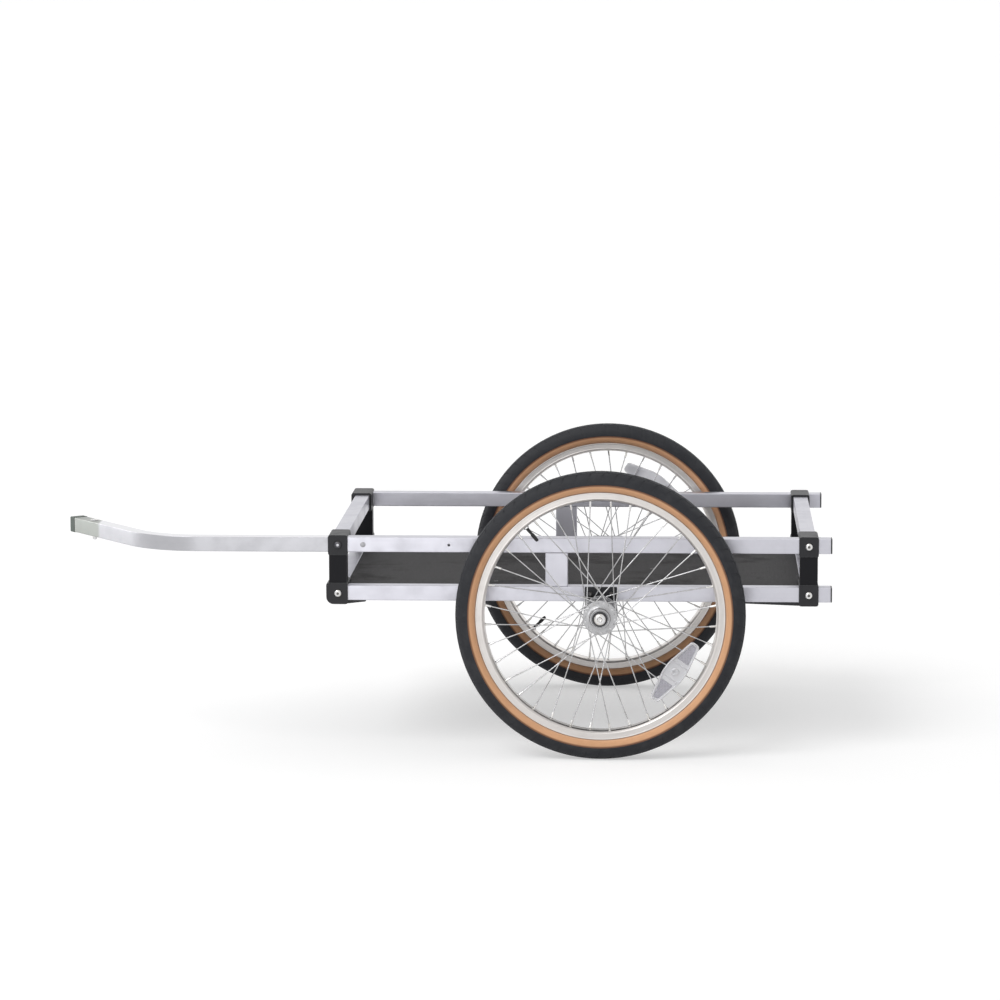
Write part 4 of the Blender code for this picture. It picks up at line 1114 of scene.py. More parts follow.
def button_bolt(node, side, finish, socket=0.40, rise=0.7, dome=DOME, inside=shaded_socket_steel):
    """Dome head bolt along Y. Its seat, length and head come from its solid."""
    low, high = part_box(node)
    head = (high.x - low.x) / 2
    tall = head * rise
    length = (high.y - low.y) - tall
    seat = (high.y if side > 0 else low.y) - side * tall
    middle = (low + high) / 2
    profile = [(0, -length), (SHANK - BOLT_POINT, -length), (SHANK, BOLT_POINT - length), (SHANK, 0)]
    profile += [(head * r, tall * z) for r, z in dome]
    bm = turned(profile, steps=40, on_axis=True)
    if socket:
        hexagon = bmesh.new()
        rod(hexagon, [(0, 0, tall * SOCKET_FLOOR), (0, 0, tall * 1.2)], head * socket, sides=6)
        bm = cut(bm, hexagon)
    # The socket's faces take the second finish: painted shade, or a painted highlight on the bolt by the tow
    # bar.
    for face in bm.faces:
        at = face.calc_center_median()
        if at.xy.length < head * socket and tall * 0.2 < at.z < tall * 0.99:
            face.material_index = 1
    place = Matrix.Translation((middle.x, seat, middle.z)) @ FACING[side]
    return piece(node, bm, [finish, inside], FRAME, node, place=place)


for label, side in SIDES.items():
    for end in ENDS:
        for level in LEVELS:
            # The top front bolt by the tow bar is painted dark with a pale socket: painted shade and a
            # painted highlight.
            at_bar = (label, level, end) == ("left", "top", "front")
            button_bolt(f"{label}_{level}_{end}_bolt", side, shaded_bolt_steel if at_bar else bright_steel,
                        inside=highlight_socket_steel if at_bar else shaded_socket_steel)
        button_bolt(f"{label}_{end}_bracket_bolt", side, black_steel)
button_bolt("tow_bar_lock_pin", -1, dull_steel, socket=0, rise=0.3, dome=BUTTON_DOME)

PIN_HEAD, PIN_HEAD_TALL = 7 * MM, 2 * MM
pin_low, pin_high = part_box("hitch_pin")
pin_foot, pin_seat = pin_low.z - upper_z, pin_high.z - upper_z - PIN_HEAD_TALL
pin_profile = [(0, pin_foot), (PIN - 1.4 * MM, pin_foot), (PIN - 0.4 * MM, pin_foot + 0.6 * MM),
               (PIN, pin_foot + 1.8 * MM), (PIN, pin_foot + 4 * MM),
               (PIN - 0.6 * MM, pin_foot + 4.3 * MM), (PIN - 0.6 * MM, pin_foot + 5.1 * MM),
               (PIN, pin_foot + 5.4 * MM), (PIN, pin_seat), (PIN_HEAD, pin_seat),
               (PIN_HEAD, pin_seat + 1 * MM), (6.4 * MM, pin_seat + 1.7 * MM),
               (5 * MM, pin_seat + PIN_HEAD_TALL), (0, pin_seat + PIN_HEAD_TALL)]
piece("hitch_pin", turned(pin_profile, steps=40, on_axis=True), bright_steel, FRAME, "hitch_pin",
      place=Matrix.Translation((pin_at.x, pin_at.y, upper_z)))
print("turned pieces made:", len(counted))

# %% [markdown]
# ## End plugs
# A pressed-in plug closes each open tube. It has a plate as wide as the tube, with eased edges and a
# slightly raised middle, and a body that grips inside. The tow bar's plug is a little larger.

# %% End plugs
GRIP_LONG, GRIP_TAPER, PLUG_CORNER = 10 * MM, 1.2 * MM, 1.6 * MM
CAP, CAP_EDGE = 2 * MM, 0.8 * MM
BAR_CAP_HALF, BAR_CAP, BAR_CAP_EDGE = 13.3 * MM, 15 * MM, 1.4 * MM


def end_plug(node, place, half, thick, edge, finish):
    """Plug for a tube's end. Z of the place points out of the tube."""
    grip = tube_size / 2 - WALL - 2 * GAP
    sizes = [(grip - GRIP_TAPER, -GRIP_LONG), (grip, 1.4 * MM - GRIP_LONG), (grip, GAP), (half, GAP),
             (half, GAP + thick - edge), (half - 0.3 * edge, GAP + thick - 0.3 * edge),
             (half - edge, GAP + thick)]
    bm = bmesh.new()
    rings = [(square_ring(2 * h, 2 * h, min(PLUG_CORNER, h / 4)), z) for h, z in sizes]
    loft(bm, [[place @ Vector((*p, z)) for p in ring] for ring, z in rings])
    return piece(node, bm, finish, FRAME, node)


for label, side in SIDES.items():
    for level, z in LEVELS.items():
        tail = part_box(f"{label}_{level}_rail")[1].x
        end_plug(f"{label}_{level}_rear_cap", frame_at((tail, side * rail_y, z), (1, 0, 0), Z_UP),
                 tube_size / 2, CAP, CAP_EDGE, dark_plastic)
end_plug("tow_bar_end_cap", bar_places[-1], BAR_CAP_HALF, BAR_CAP, BAR_CAP_EDGE, cap_plastic)
print("plugs made")

# %% [markdown]
# ## Axle brackets
# A black channel wraps the bottom rail and drops below it, and a thick base there holds the axle in a
# boss. It is built from a bent outline along the trailer, rounded lower corners, a round boss towards
# the wheel, and bores for the axle and two bolts.

# %% Axle brackets
AXLE, BOSS = 6 * MM, 8.5 * MM
BRACKET_LENGTH, BRACKET_WALL, BRACKET_FOOT = 54 * MM, 4.6 * MM, 18 * MM
BRACKET_EDGE, FOOT_CORNER, BOSS_FILLET, BOSS_SUNK = 0.9 * MM, 8 * MM, 2 * MM, 0.2 * MM
HUB_IN = 36 * MM
deck_low, deck_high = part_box("deck_panel")
axle_z = hub_at["left"].z


def axle_bracket(label):
    side, wheel_y = SIDES[label], abs(hub_at[label].y)
    top, base_top = lower_z + tube_size / 2, lower_z - tube_size / 2 - GAP
    foot = axle_z - BRACKET_FOOT
    leg_out, leg_in = rail_y + tube_size / 2 + GAP, rail_y - tube_size / 2 - GAP
    profile = [(leg_out + BRACKET_WALL, top), (leg_out, top), (leg_out, base_top), (leg_in, base_top),
               (leg_in, deck_low.z - GAP), (leg_in - BRACKET_WALL, deck_low.z - GAP),
               (leg_in - BRACKET_WALL, foot), (leg_out + BRACKET_WALL, foot)]
    bm = bmesh.new()
    plate(bm, [(side * y, z) for y, z in profile], axle_x - BRACKET_LENGTH / 2, BRACKET_LENGTH, axis=0)
    bmesh.ops.recalc_face_normals(bm, faces=bm.faces)
    at_foot = [e for e in bm.edges if all(abs(v.co.z - foot) < LEVEL_WITH for v in e.verts)
               and abs(e.verts[0].co.x - e.verts[1].co.x) < LEVEL_WITH]
    bmesh.ops.bevel(bm, geom=at_foot, offset=FOOT_CORNER, segments=8, profile=0.5, affect="EDGES")
    ease_edges(bm, BRACKET_EDGE, steps=3, angle=50)
    boss_end = side * (wheel_y - HUB_IN - GAP)
    boss_long = abs(boss_end) - leg_out - BRACKET_WALL
    boss = turned([(0, 0), (BOSS + BOSS_FILLET, 0), (BOSS, 2.5 * MM), (BOSS, boss_long - 0.5 * MM),
                   (BOSS - 0.5 * MM, boss_long), (0, boss_long)], steps=40, on_axis=True)
    boss_foot = Vector((axle_x, side * (leg_out + BRACKET_WALL - BOSS_SUNK), axle_z))
    boss.transform(Matrix.Translation(boss_foot) @ FACING[side])
    bm = cut(bm, boss, "UNION")
    bores = bmesh.new()
    near, far = side * (leg_in - 2 * BRACKET_WALL), boss_end + side * OVERSHOOT
    rod(bores, [(axle_x, near, axle_z), (axle_x, far, axle_z)], AXLE + GAP, sides=32)
    for end in ENDS:
        x = box_middle(f"{label}_{end}_bracket_bolt").x
        rod(bores, [(x, near, lower_z), (x, far, lower_z)], BOLT_HOLE, sides=20)
    node = f"{label}_axle_bracket"
    return piece(node, cut(bm, bores), black_moulding, FRAME, node)


for label in SIDES:
    print(axle_bracket(label).name, "made")

# %% [markdown]
# ## Deck
# The deck lies between the rails with a notch at each corner for the connector. Eight flat screws
# hold it to the floor bars. Each screw sits in its own shallow countersink, level with the film.

# %% Deck and its screws
BOARD_EDGE = 0.4 * MM
SCREW, SCREW_IN, SCREW_LONG, SCREW_SOCKET = 4.2 * MM, 34 * MM, 2.5 * MM, 1.7 * MM
SINK = [(0, -2.6 * MM), (1.6 * MM, -2.6 * MM), (SCREW + 0.3 * MM, 0), (SCREW + 0.3 * MM, 1 * MM),
        (0, 1 * MM)]
SCREW_HEAD = [(0, -SCREW_LONG), (1.5 * MM, -SCREW_LONG), (SCREW, -0.25 * MM),
              (SCREW - 0.2 * MM, -0.05 * MM), (0, -0.05 * MM)]
notch_x = SLEEVE_HALF - tube_size / 2
notch_y = rail_y - SLEEVE_DEPTH - GAP
half_span = deck_high.y

outline = []
for x, inward, side in ((deck_low.x, 1, -1), (deck_high.x, -1, -1), (deck_high.x, -1, 1), (deck_low.x, 1, 1)):
    notched_x = x + inward * notch_x
    corner = [(x, side * notch_y), (notched_x, side * notch_y), (notched_x, side * half_span)]
    outline += corner if inward * side < 0 else corner[::-1]
board = bmesh.new()
plate(board, outline, deck_low.z, deck_high.z - deck_low.z)
bmesh.ops.recalc_face_normals(board, faces=board.faces)
ease_edges(board, BOARD_EDGE)
screw_spots = []
for end in ENDS:
    bar_x = box_middle(f"{end}_floor_bar").x
    screw_spots += [Vector((bar_x, side * y, deck_high.z)) for side in SIDES.values()
                    for y in (half_span - SCREW_IN, half_span / 3)]
sinks = bmesh.new()
for spot in screw_spots:
    sink = turned(SINK, steps=24, on_axis=True)
    sink.transform(Matrix.Translation(spot))
    mesh = bpy.data.meshes.new("sink")
    sink.to_mesh(mesh)
    sink.free()
    sinks.from_mesh(mesh)
    bpy.data.meshes.remove(mesh)
piece("deck_panel", cut(board, sinks), deck_board, FRAME, "deck_panel")
for i, spot in enumerate(screw_spots):
    socket = bmesh.new()
    rod(socket, [(0, 0, -1.5 * MM), (0, 0, 1 * MM)], SCREW_SOCKET, sides=6)
    screw = cut(turned(SCREW_HEAD, steps=28, on_axis=True), socket)
    piece(f"deck_screw_{i + 1}", screw, black_steel, FRAME, place=Matrix.Translation(spot))
print("deck screws:", len(screw_spots))

# %% [markdown]
# ## Tyres
# A tyre is a turned outline with a tread. The outline has a crown, a shoulder and a wall down to the
# bead, hollow inside. The tread's ribs and slanted shoulder blocks are real steps in that outline, so
# they catch light at the silhouette: some of the rings run lower where a groove crosses. Rubber
# changes to tan at the tread's lower edge, by face and not by a painted line.

# %% Tyres
TREAD_BLOCKS, BLOCK_SHARE, GROOVE_SLOPE = 66, 0.80, 0.035
GROOVE_DEPTH, RIB_DEPTH = 1.5 * MM, 1.3 * MM
BLOCK_SLANT = 0.9
TYRE_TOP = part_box("left_tyre")[1].z - axle_z
# Crown rows are (half width, drop below the tread's top, kind). Side wall and casing rows are
# (half width, distance from the axle). The lengths are in millimetres.
PLAIN, RIBBED, BLOCKED = "plain", "ribbed", "blocked"
CROWN = ((0.0, 0.0, PLAIN), (4.4, 0.1, PLAIN), (4.9, 0.15, RIBBED), (6.3, 0.25, RIBBED),
         (6.8, 0.3, PLAIN), (10.8, 1.4, BLOCKED), (11.2, 1.5, RIBBED), (12.4, 1.95, RIBBED),
         (12.8, 2.15, BLOCKED), (15.2, 3.7, BLOCKED), (17.6, 6.0, BLOCKED), (19.6, 8.9, BLOCKED),
         (21.2, 12.4, BLOCKED), (22.2, 16.2, BLOCKED), (22.7, 19.2, PLAIN), (22.75, 20.6, PLAIN),
         (22.3, 21.0, PLAIN))
SIDE_WALL = ((22.25, 221.6), (22.0, 219.6), (21.3, 217.4), (20.0, 215.0), (18.3, 212.9), (16.2, 211.3),
             (14.2, 210.5), (12.6, 210.2))
CASING = ((12.3, 209.4), (12.3, 203.5), (9.8, 203.4), (9.7, 204.4), (10.4, 211.0), (14.4, 214.9),
          (17.8, 218.6), (19.2, 224.0), (18.6, 231.0), (14.0, 236.2), (8.0, 240.0), (0.0, 241.2))
SLANT_FROM = 6.8
TAN_TOP = 223.3 * MM
CASING_TOP, CASING_HALF, CASING_FOOT = 242 * MM, 19.3 * MM, 213 * MM


def tyre_ring(angle, crossed):
    """One section of the tyre, from one bead over the tread to the other and back inside."""
    outer = []
    for z, drop, kind in CROWN:
        r = TYRE_TOP - drop * MM
        if kind == RIBBED:
            r -= RIB_DEPTH
        elif kind == BLOCKED and crossed:
            r -= GROOVE_DEPTH
        outer.append((r, z * MM, angle + BLOCK_SLANT * max(0.0, z - SLANT_FROM) * MM / TYRE_TOP))
    drift = outer[-1][2]
    outer += [(r * MM, z * MM, drift) for z, r in SIDE_WALL]
    inner = [(r * MM, z * MM, drift) for z, r in CASING]
    half = outer[1:] + inner[:-1]
    ring = [(r, -z, a) for r, z, a in reversed(half)] + [outer[0]] + half + [(inner[-1][0], 0.0, drift)]
    return [on_circle(r, a, z) for r, z, a in ring]


def reach_of(face):
    """Least and greatest distance of a face's corners from the axle."""
    reaches = [math.hypot(v.co.x, v.co.y) for v in face.verts]
    return min(reaches), max(reaches)


def tyre(label):
    block = 2 * math.pi / TREAD_BLOCKS
    steps = [(0, False), (BLOCK_SHARE / 2, False), (BLOCK_SHARE, False),
             (BLOCK_SHARE + GROOVE_SLOPE, True), (1 - GROOVE_SLOPE, True)]
    bm = bmesh.new()
    loft(bm, [tyre_ring(block * (i + at), crossed) for i in range(TREAD_BLOCKS) for at, crossed in steps],
         looped=True)
    for face in bm.faces:
        low, high = reach_of(face)
        half = max(abs(v.co.z) for v in face.verts)
        inside = low < CASING_TOP and half < CASING_HALF and high > CASING_FOOT
        face.material_index = 1 if high < TAN_TOP and not inside else 0
    return wheel_piece(label, "tyre", bm, [black_tread, tan_side_wall], sharp=38)


for label in SIDES:
    print(tyre(label).name, "faces", counted[f"{label}_tyre.fine"])

# %% [markdown]
# ## Rims
# The rim is a box section hoop: two flat sides for the brakes, lips that hook the tyre, a well in the
# middle and a spoke face inside. Thirty-six eyelets stand a little proud of the spoke face, and the
# valve passes through a real hole. Enough steps go round that the silhouette never shows a corner.

# %% Rims
RIM_STEPS = 180
SPOKES = 36
RIM_FACE, BEAD_SEAT, RIM_LIP = 194.7 * MM, 203 * MM, 209.6 * MM
RIM_HALF, RIM_SIDE = 15.4 * MM, 2.3 * MM
TRACK_WEAR, VALVE_HOLE = 0.25 * MM, 3.6 * MM
VALVE_TURN = {"left": math.radians(230), "right": math.radians(135)}
# The first spoke's angle past the valve is in degrees. Eyelet rows are (distance outward from the
# spoke face, radius) in millimetres.
FIRST_SPOKE, SPOKE_RIM_Z = 5, 3.5 * MM
EYELET = ((0.6, 3.4), (-0.35, 3.3), (-0.6, 2.9), (-0.6, 2.0))


def valve_angle(label):
    return SIDES[label] * VALVE_TURN[label]


def mirrored(half):
    return half + [(r, -z) for r, z in reversed(half)]


def spoke_turn(label, k):
    """Angle at the rim, lean round the hub and flange of spoke k."""
    at_rim = valve_angle(label) + SIDES[label] * math.radians(FIRST_SPOKE + 360 * k / SPOKES)
    return at_rim, (1 if k % 4 < 2 else -1), (1 if k % 2 else -1)


def rim(label):
    track, hook = RIM_HALF - TRACK_WEAR, RIM_HALF - RIM_SIDE
    half = [(RIM_FACE, 0.585 * RIM_HALF), (RIM_FACE + 1.2 * MM, 0.80 * RIM_HALF),
            (RIM_FACE + 4.2 * MM, RIM_HALF), (RIM_FACE + 5.4 * MM, RIM_HALF), (RIM_FACE + 5.7 * MM, track),
            (RIM_LIP - 1.8 * MM, track), (RIM_LIP - 1.5 * MM, RIM_HALF), (RIM_LIP, RIM_HALF),
            (RIM_LIP, hook - 0.2 * MM), (RIM_LIP - 1.4 * MM, hook - 0.2 * MM), (RIM_LIP - 1.8 * MM, hook),
            (BEAD_SEAT, 0.98 * hook), (BEAD_SEAT, 9.2 * MM), (BEAD_SEAT - 3.4 * MM, 7 * MM)]
    bm = turned(eased(mirrored(half), 0.5 * MM, steps=2), RIM_STEPS)
    towards = on_circle(1, valve_angle(label))
    hole = bmesh.new()
    ends = [towards * (RIM_FACE - OVERSHOOT), towards * (RIM_LIP + OVERSHOOT)]
    rod(hole, ends, VALVE_HOLE, sides=24, up=Z_UP)
    wheel_piece(label, "rim", cut(bm, hole), rim_aluminium)


def eyelets(label):
    bm = bmesh.new()
    for k in range(SPOKES):
        angle, _, flange = spoke_turn(label, k)
        out = on_circle(1, angle)
        spindle(bm, out * RIM_FACE + Vector((0, 0, flange * SPOKE_RIM_Z)), out, EYELET, sides=16)
    return wheel_piece(label, "rim_eyelets", bm, bright_steel, extra=True)


for label in SIDES:
    rim(label)
    print(eyelets(label).name, "on a rim with", counted[f"{label}_rim.fine"], "faces")

# %% [markdown]
# ## Hub, spokes and nipples
# The hub shell is turned: a slim barrel, two flanges and a bearing cup at each end. Spokes hook
# through the flanges in turn from inside and outside, cross three others and end in nipples at the
# rim. Each one is a swept wire with its head and elbow, and its nipple is a tapered barrel.

# %% Hubs and spokes
SPOKE_CIRCLE, SPOKE_SWING, SPOKE_WIRE = 25 * MM, math.radians(60), 0.95 * MM
FLANGE, FLANGE_Z, FLANGE_HALF = 29 * MM, 28 * MM, 1.5 * MM
HUB_BARREL, HUB_CUP, HUB_OUT = 12 * MM, 16.5 * MM, 42 * MM
BEARING, BEARING_LENGTH = 14 * MM, 8 * MM
HUB_CLEAR, CUP_GROOVE = 2.5 * MM, 0.5 * MM
HEAD_RIDE, WIRE_CLEAR, ELBOW_LONG = 0.9 * MM, 0.1 * MM, 2.4 * MM
# Rows are (distance, radius) in millimetres, outward from the spoke's head and inward from the rim.
SPOKE_HEAD = ((0.1, 1.2), (0.0, 1.9), (-0.45, 1.9))
NIPPLE_BODY = ((0.0, 2.3), (0.6, 2.3), (1.0, 1.95), (9.8, 1.75), (10.7, 1.6), (11.0, 1.1))
WIRE_UP = (0.3, 0.9, 0.1)


def hub_shell(label):
    cup_out, cup_in = HUB_OUT - BEARING_LENGTH - GAP, -HUB_IN + BEARING_LENGTH + GAP
    bore, seat, groove = AXLE + HUB_CLEAR, BEARING + GAP, HUB_CUP - CUP_GROOVE
    far_side, near_side = FLANGE_Z + FLANGE_HALF, FLANGE_Z - FLANGE_HALF
    half_barrel = [(FLANGE, near_side), (FLANGE - 8 * MM, near_side),
                   (HUB_BARREL + 2.5 * MM, FLANGE_Z - 3.4 * MM), (HUB_BARREL, FLANGE_Z - 8 * MM)]
    profile = [(HUB_CUP, HUB_OUT), (HUB_CUP, HUB_OUT - 3.2 * MM), (groove, HUB_OUT - 3.5 * MM),
               (groove, HUB_OUT - 4.1 * MM), (HUB_CUP, HUB_OUT - 4.4 * MM), (HUB_CUP, FLANGE_Z + 4.4 * MM),
               (HUB_CUP + 2.2 * MM, FLANGE_Z + 2 * MM), (FLANGE - 7.5 * MM, far_side), (FLANGE, far_side),
               *mirrored(half_barrel),
               (FLANGE, -far_side), (FLANGE - 7.5 * MM, -far_side), (HUB_CUP + 2 * MM, -FLANGE_Z - 2 * MM),
               (HUB_CUP, -FLANGE_Z - 4 * MM), (HUB_CUP, -HUB_IN), (seat, -HUB_IN), (seat, cup_in),
               (bore, cup_in), (bore, cup_out), (seat, cup_out), (seat, HUB_OUT)]
    return wheel_piece(label, "hub_and_spokes", turned(eased(profile, 0.7 * MM, steps=3), 96), hub_aluminium)


def spoke_path(label, k):
    """Points of spoke k from its head, through the flange and round the elbow to the rim."""
    at_rim, lean, flange = spoke_turn(label, k)
    hole = on_circle(SPOKE_CIRCLE, at_rim + SIDES[label] * lean * SPOKE_SWING, flange * FLANGE_Z)
    lift = Vector((0, 0, lean))
    foot = hole + lift * (FLANGE_HALF + SPOKE_WIRE + WIRE_CLEAR)
    end = on_circle(RIM_FACE, at_rim, flange * SPOKE_RIM_Z)
    way = (end - foot).normalized()
    head = hole - lift * (FLANGE_HALF + HEAD_RIDE)
    start = hole + lift * (FLANGE_HALF - HEAD_RIDE)
    elbow = short_curve(start, foot, foot + way * ELBOW_LONG, steps=4)
    return head, elbow, end, way


def spokes_and_nipples(label):
    wires, nipples = bmesh.new(), bmesh.new()
    for k in range(SPOKES):
        head, elbow, end, way = spoke_path(label, k)
        out = (head - elbow[0]).normalized()
        points = [head + out * height * MM for height, _ in SPOKE_HEAD]
        points += [head - out * 0.5 * MM, *elbow, end]
        radii = [r * MM for _, r in SPOKE_HEAD]
        radii += [SPOKE_WIRE] * (len(points) - len(radii))
        rod(wires, points, radii, sides=10, up=WIRE_UP)
        spindle(nipples, end, -way, NIPPLE_BODY, sides=12)
    wire_piece = wheel_piece(label, "spokes", wires, spoke_wire, extra=True, sharp=50)
    wheel_piece(label, "spoke_nipples", nipples, bright_steel, extra=True, sharp=50)
    return wire_piece


for label in SIDES:
    hub_shell(label)
    print(spokes_and_nipples(label).name, "faces", counted[f"{label}_spokes.fine"])

# %% [markdown]
# ## Bearings, axles and release buttons
# Behind the hub's cup sits a sealed bearing: two ground rings and a recessed rubber seal, which is the
# dark ring in the photograph. The axle's round head covers its bore. In the head, a button with a
# dished face works the axle's lock. It slides by itself, so it is a piece of its own.

# %% Bearings, axles and buttons
AXLE_HEAD, AXLE_HEAD_LENGTH, AXLE_END = 10 * MM, 7 * MM, 80 * MM
BUTTON, BUTTON_TOP, BUTTON_POCKET = 4 * MM, 52 * MM, 30 * MM
BUTTON_TRAVEL, PLUNGER = 3 * MM, 2 * MM
RACE_LIP = 0.9 * MM


def bearing(label, place, low, shown_up):
    """Sealed bearing between two heights, with its seal on the side that shows."""
    high = low + BEARING_LENGTH
    inner, outer = AXLE + GAP, BEARING
    profile = [(outer, low), (outer, high), (outer - RACE_LIP, high), (outer - RACE_LIP, high - 0.6 * MM),
               (inner + 2.2 * MM, high - 0.6 * MM), (inner + 2.2 * MM, high), (inner, high), (inner, low)]
    bm = turned(eased(profile, 0.3 * MM, steps=2), 64)
    for face in bm.faces:
        nearest, farthest = reach_of(face)
        on_top = face.calc_center_median().z > high - 1 * MM
        if on_top and inner + 2 * MM < nearest and farthest < outer - 0.8 * RACE_LIP:
            face.material_index = 1
    if not shown_up:
        bm.transform(Matrix.Translation((0, 0, low + high)) @ Matrix.Diagonal((1, 1, -1, 1)))
    return wheel_piece(label, f"{place}_bearing", bm, [race_steel, seal_rubber])


def axle(label):
    """Hollow stub axle with its head, and the button in it."""
    head_in = HUB_OUT + GAP
    head_out = head_in + AXLE_HEAD_LENGTH
    profile = [(AXLE_HEAD - 3.4 * MM, head_out), (AXLE_HEAD - 1.6 * MM, head_out - 0.9 * MM),
               (AXLE_HEAD - 0.5 * MM, head_out - 2.2 * MM), (AXLE_HEAD, head_out - 3.8 * MM),
               (AXLE_HEAD, head_in + 1.6 * MM), (AXLE_HEAD - 0.8 * MM, head_in + 1.2 * MM),
               (AXLE_HEAD - 0.8 * MM, head_in), (AXLE, head_in), (AXLE, 1 * MM - AXLE_END),
               (AXLE - 1 * MM, -AXLE_END), (PLUNGER + GAP, -AXLE_END), (PLUNGER + GAP, BUTTON_POCKET),
               (BUTTON + GAP, BUTTON_POCKET), (BUTTON + GAP, head_out)]
    node = f"{label}_axle"
    bm = turned(eased(profile, 0.35 * MM, steps=2), 72)
    piece(node, bm, bright_steel, FRAME, node, place=wheel_place(label))
    foot = BUTTON_POCKET + BUTTON_TRAVEL + GAP
    tail = 1 * MM + BUTTON_TRAVEL - AXLE_END
    dish = [(0, BUTTON_TOP - 0.7 * MM), (1.4 * MM, BUTTON_TOP - 0.6 * MM),
            (2.5 * MM, BUTTON_TOP - 0.15 * MM), (3.0 * MM, BUTTON_TOP),
            (BUTTON - 0.5 * MM, BUTTON_TOP - 0.1 * MM), (BUTTON, BUTTON_TOP - 0.7 * MM), (BUTTON, foot),
            (PLUNGER, foot), (PLUNGER, tail + 0.5 * MM), (PLUNGER - 0.5 * MM, tail), (0, tail)]
    button = f"{label}_release_button"
    bm = turned(dish, steps=48, on_axis=True)
    return piece(button, bm, bright_steel, f"{label}_button", button, place=wheel_place(label))


for label in SIDES:
    bearing(label, "outer", HUB_OUT - BEARING_LENGTH, True)
    bearing(label, "inner", -HUB_IN, False)
    print(axle(label).name, "made")

# %% [markdown]
# ## Inner tube and valve
# Inside the tyre lies the inner tube, a plain soft hoop that nobody sees. Its valve does show: a
# rubber covered stem through the rim, a small nut against the spoke face and a ribbed black cap.

# %% Inner tubes and valves
# Each outline lists (distance from the axle, radius or half width) in millimetres. The cap's rows say
# as well where it is ribbed.
TUBE_SECTION = ((239.6, 7.5), (230.6, 18.0), (218.2, 17.4), (211.2, 9.6), (200.2, 6.4))
STEM = ((201.5, 3.3), (193.0, 3.3), (190.0, 2.9), (181.0, 2.5), (178.4, 2.4), (178.2, 2.0))
NUT = ((194.5, 4.8), (192.1, 4.8), (191.9, 4.3))
NUT_BORE = ((197.0, 3.4), (190.0, 3.4))
CAP_RIBS, CAP_RIB_HEIGHT = 14, 0.22
VALVE_CAP = ((178.6, 2.6, False), (178.3, 3.0, True), (168.4, 3.0, True), (167.0, 2.9, False),
             (RIM_FACE / MM - 30.4, 2.5, False), (RIM_FACE / MM - 31, 1.8, False))


def inner_tube(label):
    half = [(reach * MM, width * MM) for reach, width in TUBE_SECTION]
    bm = turned(eased(mirrored(half), 3 * MM, steps=4), 120)
    return wheel_piece(label, "inner_tube", bm, tube_rubber)


def valve_part(label, outline, sides):
    """Mesh with the given outline along the valve's own line."""
    bm = bmesh.new()
    spindle(bm, Vector(), on_circle(1, valve_angle(label)), outline, sides)
    return bm


def valve_cap(label):
    """Cap with fine ribs round it, for a grip."""
    out = on_circle(1, valve_angle(label))
    steps = 4 * CAP_RIBS
    rings = []
    for reach, radius, ribbed in VALVE_CAP:
        place = frame_at(out * reach * MM, -out, Z_UP)
        radii = [(radius + (CAP_RIB_HEIGHT if ribbed and k % 4 < 2 else 0.0)) * MM for k in range(steps)]
        rings.append([place @ on_circle(r, 2 * math.pi * k / steps) for k, r in enumerate(radii)])
    cap = bmesh.new()
    loft(cap, rings)
    return cap


for label in SIDES:
    print(inner_tube(label).name, "made")
    wheel_piece(label, "valve_stem", valve_part(label, STEM, sides=24), valve_black, extra=True, sharp=50)
    nut = cut(valve_part(label, NUT, sides=6), valve_part(label, NUT_BORE, sides=24))
    wheel_piece(label, "valve_nut", nut, bright_steel, extra=True)
    wheel_piece(label, "valve_cap", valve_cap(label), valve_black, extra=True, sharp=45)

# %% [markdown]
# ## Spoke reflectors
# A clear reflector clips across the spokes. It is a shallow tray with a rim, two lens panels with
# prisms at its ends and a bridge with a clip boss in its middle. It leans with the spokes that carry
# it, a hair above them.

# %% Reflectors
REFLECTOR_AT, REFLECTOR_TURN = 156 * MM, math.radians(166.7)
REFLECTOR_LONG, REFLECTOR_WAIST = 59 * MM, 10 * MM
REFLECTOR_WIDE, REFLECTOR_TIP = 18.5 * MM, 8 * MM
REFLECTOR_THICK, REFLECTOR_LIFT = 5 * MM, 0.4 * MM
LENS_BORDER, LENS_LONG, LENS_CORNER = 4.5 * MM, 33 * MM, 1.6 * MM
TRAY_FLOOR, TRAY_CORNER = 2 * MM, 5 * MM
# Layers are (inset, height), and the clip's are (radius, height) and (height, half width), in millimetres.
TRAY_LAYERS = ((0.5, 0.0), (0.0, 0.5), (0.0, 4.4), (0.5, 5.0), (1.7, 5.0), (2.2, 4.5), (2.5, 3.0))
LENS_LAYERS = ((0.3, 2.05), (0.3, 3.1), (0.8, 3.5))
CLIP_BOSS = ((1.8, 2.95), (7.0, 2.95), (6.6, 4.3), (6.1, 4.7), (3.4, 4.7), (3.0, 3.9), (1.8, 3.8))
CLIP_RIB_AT, CLIP_RIB = 14 * MM, ((2.95, 1.0), (4.0, 0.8), (4.3, 0.5))


def half_width(y):
    """Half the reflector's width at a distance from its middle."""
    share = max(0.0, y - REFLECTOR_WAIST) / (REFLECTOR_LONG - REFLECTOR_WAIST)
    return REFLECTOR_WIDE - (REFLECTOR_WIDE - REFLECTOR_TIP) * share


def boat(corners, inset, corner):
    """Outline with four-fold symmetry from the corners of one quarter, drawn in and rounded."""
    quarter = [(x - inset, y - inset * (i == len(corners) - 1)) for i, (x, y) in enumerate(corners)]
    half = quarter + [(-x, y) for x, y in reversed(quarter)]
    return eased(half + [(-x, -y) for x, y in half], corner, steps=5)


def lens_outline(end, inset):
    low, high = REFLECTOR_LONG - LENS_BORDER - LENS_LONG + inset, REFLECTOR_LONG - LENS_BORDER - inset
    right = [(half_width(y) - LENS_BORDER - inset, end * y) for y in (low, high)]
    return eased(right + [(-x, y) for x, y in reversed(right)], LENS_CORNER, steps=4)


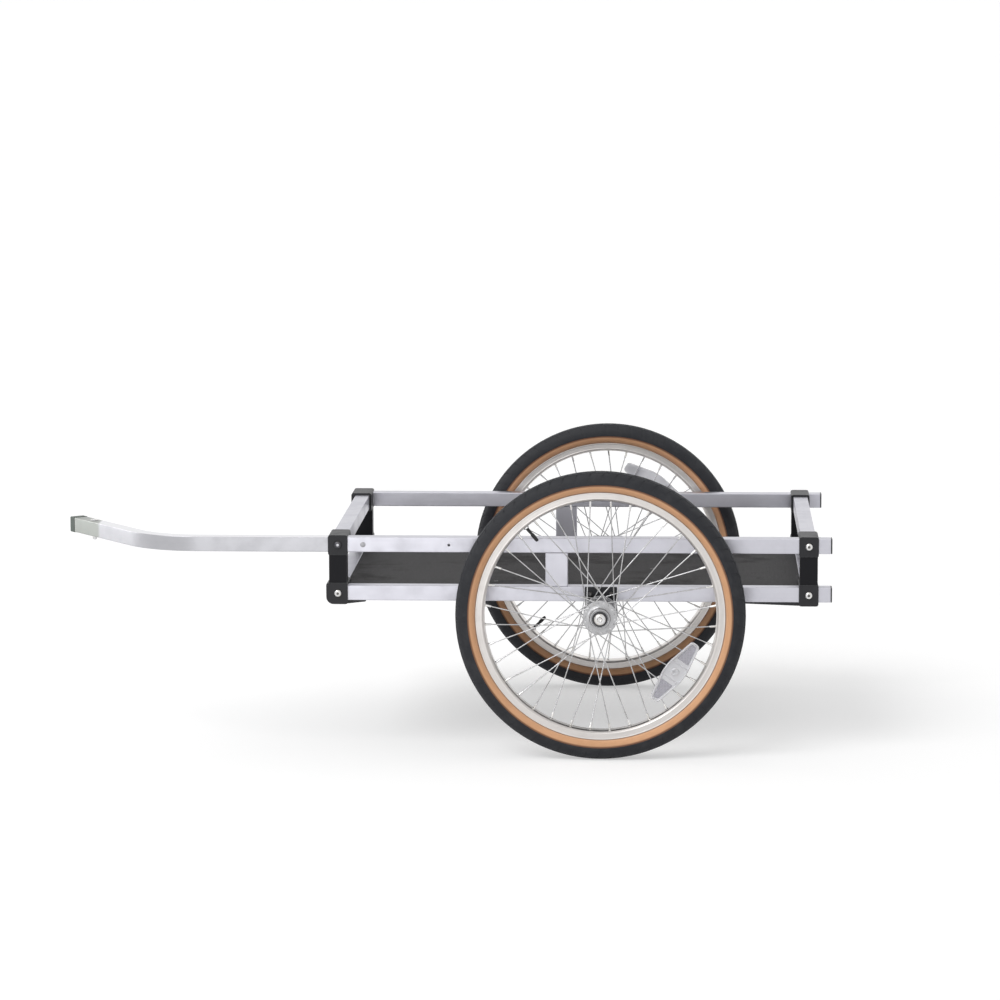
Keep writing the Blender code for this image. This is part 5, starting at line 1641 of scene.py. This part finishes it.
def tray():
    corners = [(half_width(y), y) for y in (REFLECTOR_WAIST, REFLECTOR_LONG)]
    layers = [(boat(corners, inset * MM, TRAY_CORNER), z * MM) for inset, z in TRAY_LAYERS]
    bm = bmesh.new()
    loft(bm, [[(x, y, z) for x, y in outline] for outline, z in layers])
    pockets = bmesh.new()
    for end in (-1, 1):
        plate(pockets, lens_outline(end, 0), TRAY_FLOOR, REFLECTOR_THICK)
    return cut(bm, pockets)


def lenses():
    bm = bmesh.new()
    for end in (-1, 1):
        loft(bm, [[(x, y, z * MM) for x, y in lens_outline(end, inset * MM)] for inset, z in LENS_LAYERS])
    return bm


def clip():
    bm = turned([(r * MM, z * MM) for r, z in CLIP_BOSS], steps=40)
    for y in (-CLIP_RIB_AT, CLIP_RIB_AT):
        half_long = half_width(abs(y)) - 3 * MM
        loft(bm, [[(sx * half_long, y + sy * w * MM, z * MM) for sx, sy in QUADRANTS] for z, w in CLIP_RIB])
    return bm


def reflector_place(label):
    """Place on the wheel that lies a hair above the spokes and leans with them."""
    spoke_end = RIM_FACE * math.cos(math.pi / SPOKES) - GAP
    slope = (FLANGE_Z - SPOKE_RIM_Z) / (spoke_end - SPOKE_CIRCLE)
    over = SPOKE_RIM_Z + slope * (spoke_end - REFLECTOR_AT) + SPOKE_WIRE + REFLECTOR_LIFT
    spot = valve_angle(label) + SIDES[label] * REFLECTOR_TURN
    return (Matrix.Translation(on_circle(REFLECTOR_AT, spot, over))
            @ Matrix.Rotation(spot, 4, "Z") @ Matrix.Rotation(math.atan(slope), 4, "Y"))


for label in SIDES:
    for name, bm, finish in (("reflector", tray(), clear_frame), ("reflector_lenses", lenses(), prism_lens),
                             ("reflector_clip", clip(), clear_frame)):
        bm.transform(reflector_place(label))
        made = wheel_piece(label, name, bm, finish, extra=name != "reflector")
        print(made.name, "made")

# %% [markdown]
# ## Totals
# The number of pieces and of their faces.

# %% Totals
print("pieces:", len(counted), "faces:", sum(counted.values()))
